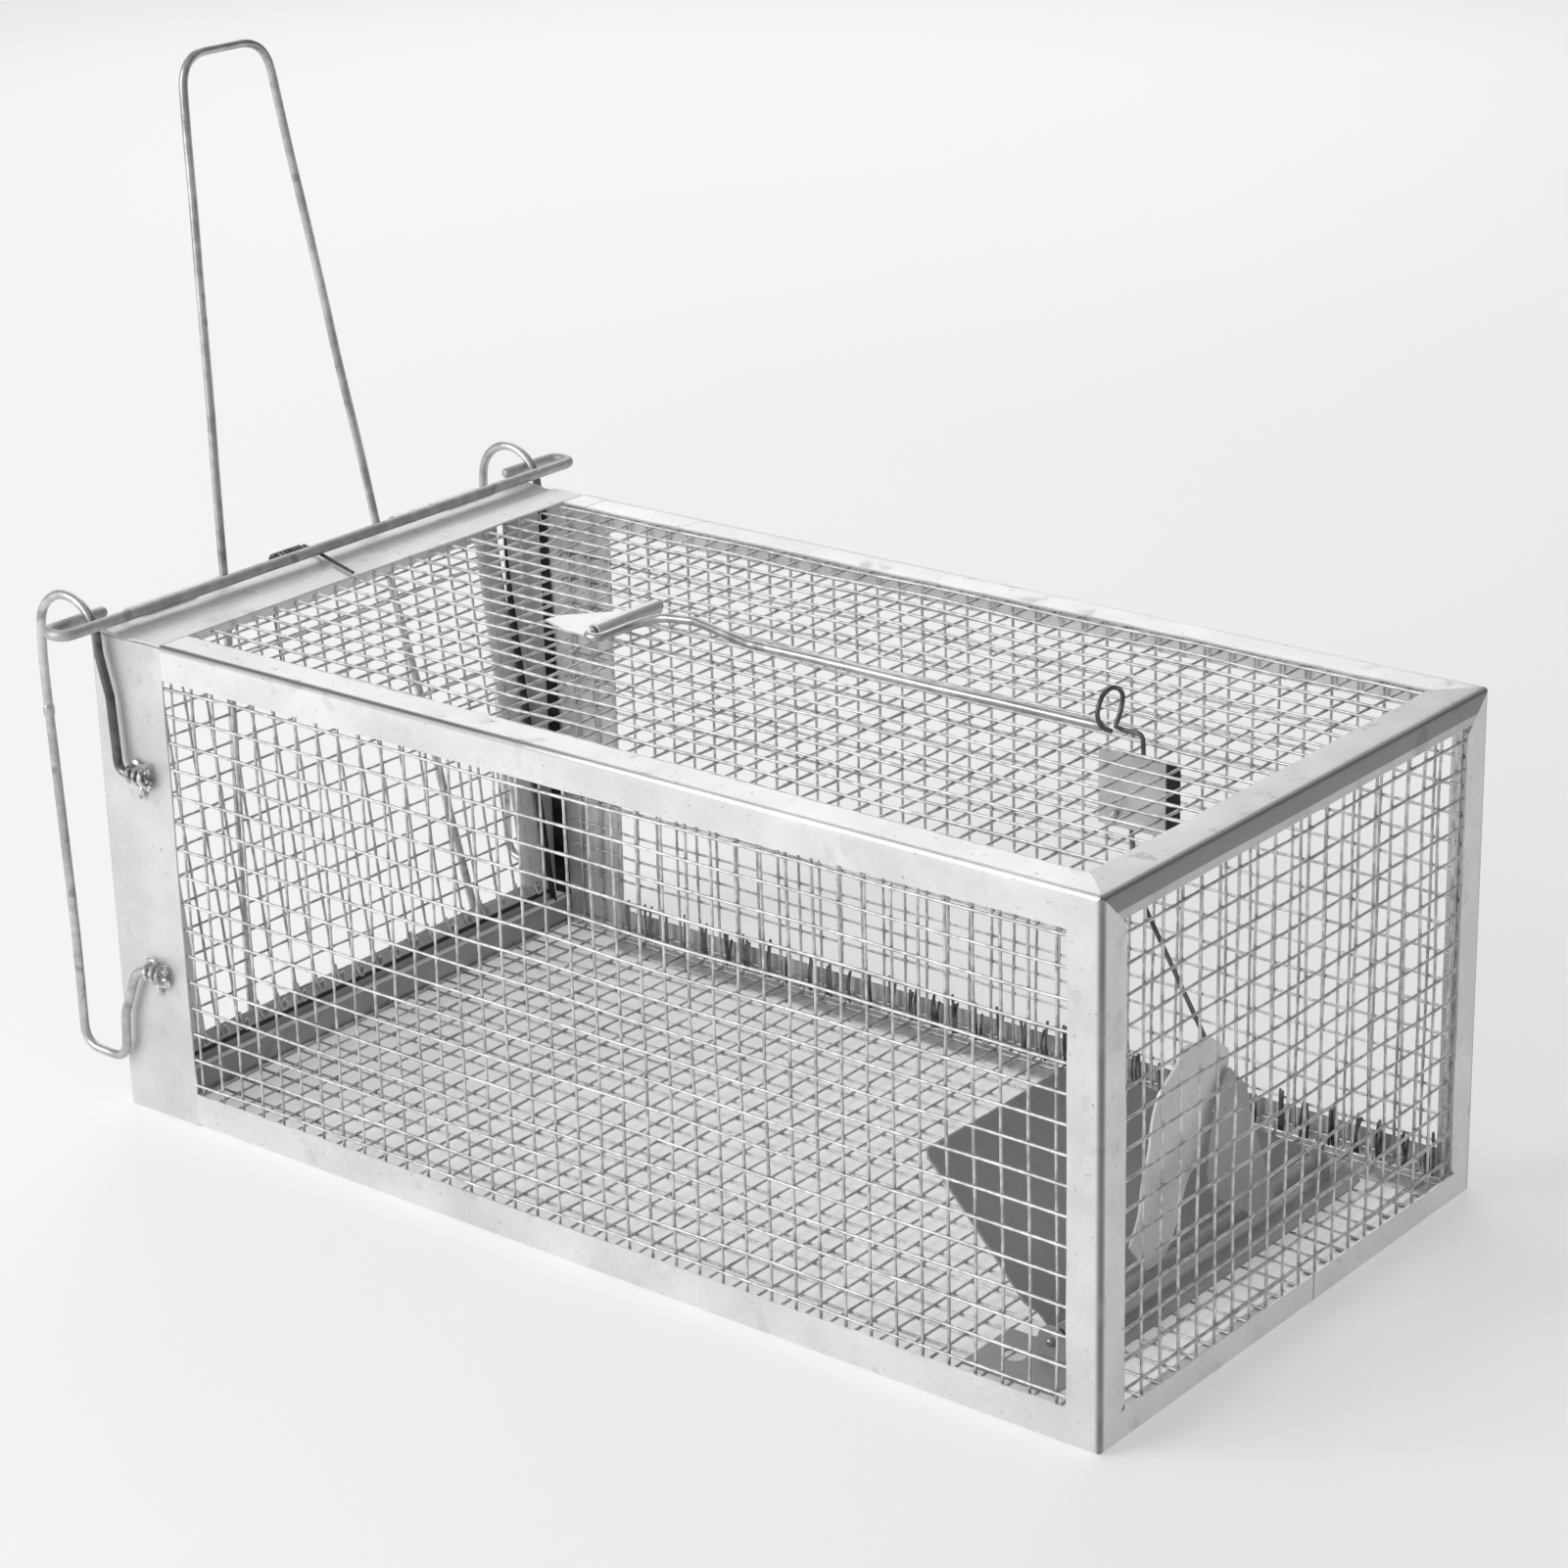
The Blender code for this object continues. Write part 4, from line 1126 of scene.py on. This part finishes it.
def pedal():
    """Slanted tread, crumpled upright arm and a grey leaf behind it, on one sleeve."""
    sleeve = span("pedal_sleeve")
    radius = (sleeve[1].z - sleeve[0].z) / 2 - SHEET / 2
    section = arc(PEDAL_X, PEDAL_Z, radius, -60, 292, 20)
    curled_strap("pedal_turning_sleeve", "pedal_sleeve", "pedal", section, sleeve[0].y,
                 sleeve[1].y, BASE_GREY, 5)
    start = radius + SHEET
    rise = math.radians(46.6)
    left = [(-46.4, start), (-46.4, 6.0), (-48.2, 9.0), (-48.3, 43.6), (-47.2, 45.0)]
    right = [(49.8, start), (49.8, 4.6), (6.0, 44.1), (4.6, 45.0)]
    bent_panel("pedal_tread_sheet", "pedal_tread", "pedal", panel(left, right, 30, 28),
               (PEDAL_X, 0, PEDAL_Z), (0, 1, 0), (-math.cos(rise), 0, math.sin(rise)), 0.5,
               GREY, 0.6, 6)
    lean = math.radians(6.3)
    left = [(-15.5, start), (-22.5, 10.0), (-17.5, 43.5), (-10.0, 51.5)]
    right = [(-9.5, start), (0.0, 21.5), (4.3, 32.5), (8.8, 37.5), (6.5, 45.0), (0.5, 49.5),
             (-9.0, 51.5)]
    bent_panel("pedal_arm_sheet", "pedal_arm", "pedal", panel(left, right, 24, 12),
               (PEDAL_X, 0, PEDAL_Z), (0, 1, 0), (math.sin(lean), 0, math.cos(lean)), 1.2,
               ARM, 0.6, 7)
    low, high = span("pedal_leaf")
    left = [(21.2, low.z), (18.4, 8.4), (12.0, 12.7), (1.3, 20.1), (-1.3, 25.9), (0.8, 38.3),
            (3.5, 45.0), (5.6, high.z)]
    right = [(23.5, low.z), (24.9, 10.5), (21.2, 18.4), (16.4, 30.1), (12.9, 41.0),
             (6.4, high.z)]
    bent_panel("pedal_leaf_sheet", "pedal_leaf", "pedal", panel(left, right, 26, 8),
               ((low.x + high.x) / 2, 0, 0), (0, 1, 0), (0, 0, 1), 0.5, LEAF,
               SHEET, 4)


# ---------------------------------------------------------------- studio

def studio():
    """Pale floor, soft light from the left and above, and the camera."""
    size, below = 12.0, 0.0002
    mesh = bpy.data.meshes.new("studio_floor")
    low = cad_low.z - below
    mesh.from_pydata([(-size, -size, low), (size, -size, low), (size, size, low),
                      (-size, size, low)], [], [(0, 1, 2, 3)])
    floor = bpy.data.objects.new("studio_floor", mesh)
    bpy.context.scene.collection.objects.link(floor)
    look = Look("studio_floor_white", 0.0)
    look.shader.inputs["Emission Color"].default_value = grey(1.0)
    look.shader.inputs["Emission Strength"].default_value = 0.28
    mesh.materials.append(look.done(look.mixed(look.noise(3.0), grey(0.80), grey(0.84)), 0.9,
                                    look.noise(900.0), 0.01))

    world = bpy.data.worlds.new("studio")
    world.use_nodes = True
    bpy.context.scene.world = world
    tree = world.node_tree
    background = tree.nodes["Background"]
    background.inputs["Color"].default_value = grey(1.0)
    where = tree.nodes.new("ShaderNodeTexCoord")
    facing = tree.nodes.new("ShaderNodeVectorMath")
    facing.operation = "DOT_PRODUCT"
    facing.inputs[1].default_value = Vector((0.80, 0.55, 0.22)).normalized()
    ramp = tree.nodes.new("ShaderNodeMapRange")
    ramp.interpolation_type = "SMOOTHSTEP"
    for key, value in (("From Min", 0.35), ("From Max", 0.95), ("To Min", 0.5), ("To Max", 0.2)):
        ramp.inputs[key].default_value = value
    tree.links.new(where.outputs["Generated"], facing.inputs[0])
    tree.links.new(facing.outputs["Value"], ramp.inputs["Value"])
    tree.links.new(ramp.outputs["Result"], background.inputs["Strength"])

    for name, place, power in (("left_softbox", (-0.7, -1.2, 0.7), 12.0),
                               ("back_softbox", (-0.9, 1.1, 0.9), 4.0)):
        light = bpy.data.lights.new(name, "AREA")
        light.size = 1.0
        light.energy = power
        lamp = bpy.data.objects.new(name, light)
        lamp.location = place
        lamp.rotation_euler = (-Vector(place)).to_track_quat("-Z", "Y").to_euler()
        bpy.context.scene.collection.objects.link(lamp)

    heading, pitch, roll = (math.radians(a) for a in (39.265, 20.661, -1.466))
    camera = bpy.data.cameras.new("camera")
    camera.lens = 90.97
    camera.sensor_width = 36.0
    holder = bpy.data.objects.new("camera", camera)
    holder.matrix_world = (Matrix.Translation(at((642.9, -615.9, 386.8)))
                           @ Matrix.Rotation(heading, 4, "Z")
                           @ Matrix.Rotation(math.radians(90) - pitch, 4, "X")
                           @ Matrix.Rotation(roll, 4, "Z"))
    bpy.context.scene.collection.objects.link(holder)
    bpy.context.scene.camera = holder
    bpy.context.scene.view_settings.view_transform = "Standard"


edge_strips()
front_plates()
top_plate()
sill()
cage_netting()
far_wire_ends()
hinge()
closing_spring()
guide_wires()
guide_clinches()
lock_bar()
door()
door_wire_ends()
jamb_gaps()
handle()
roof_clip()
set_rod()
catch()
pedal_mount()
pedal()
studio()
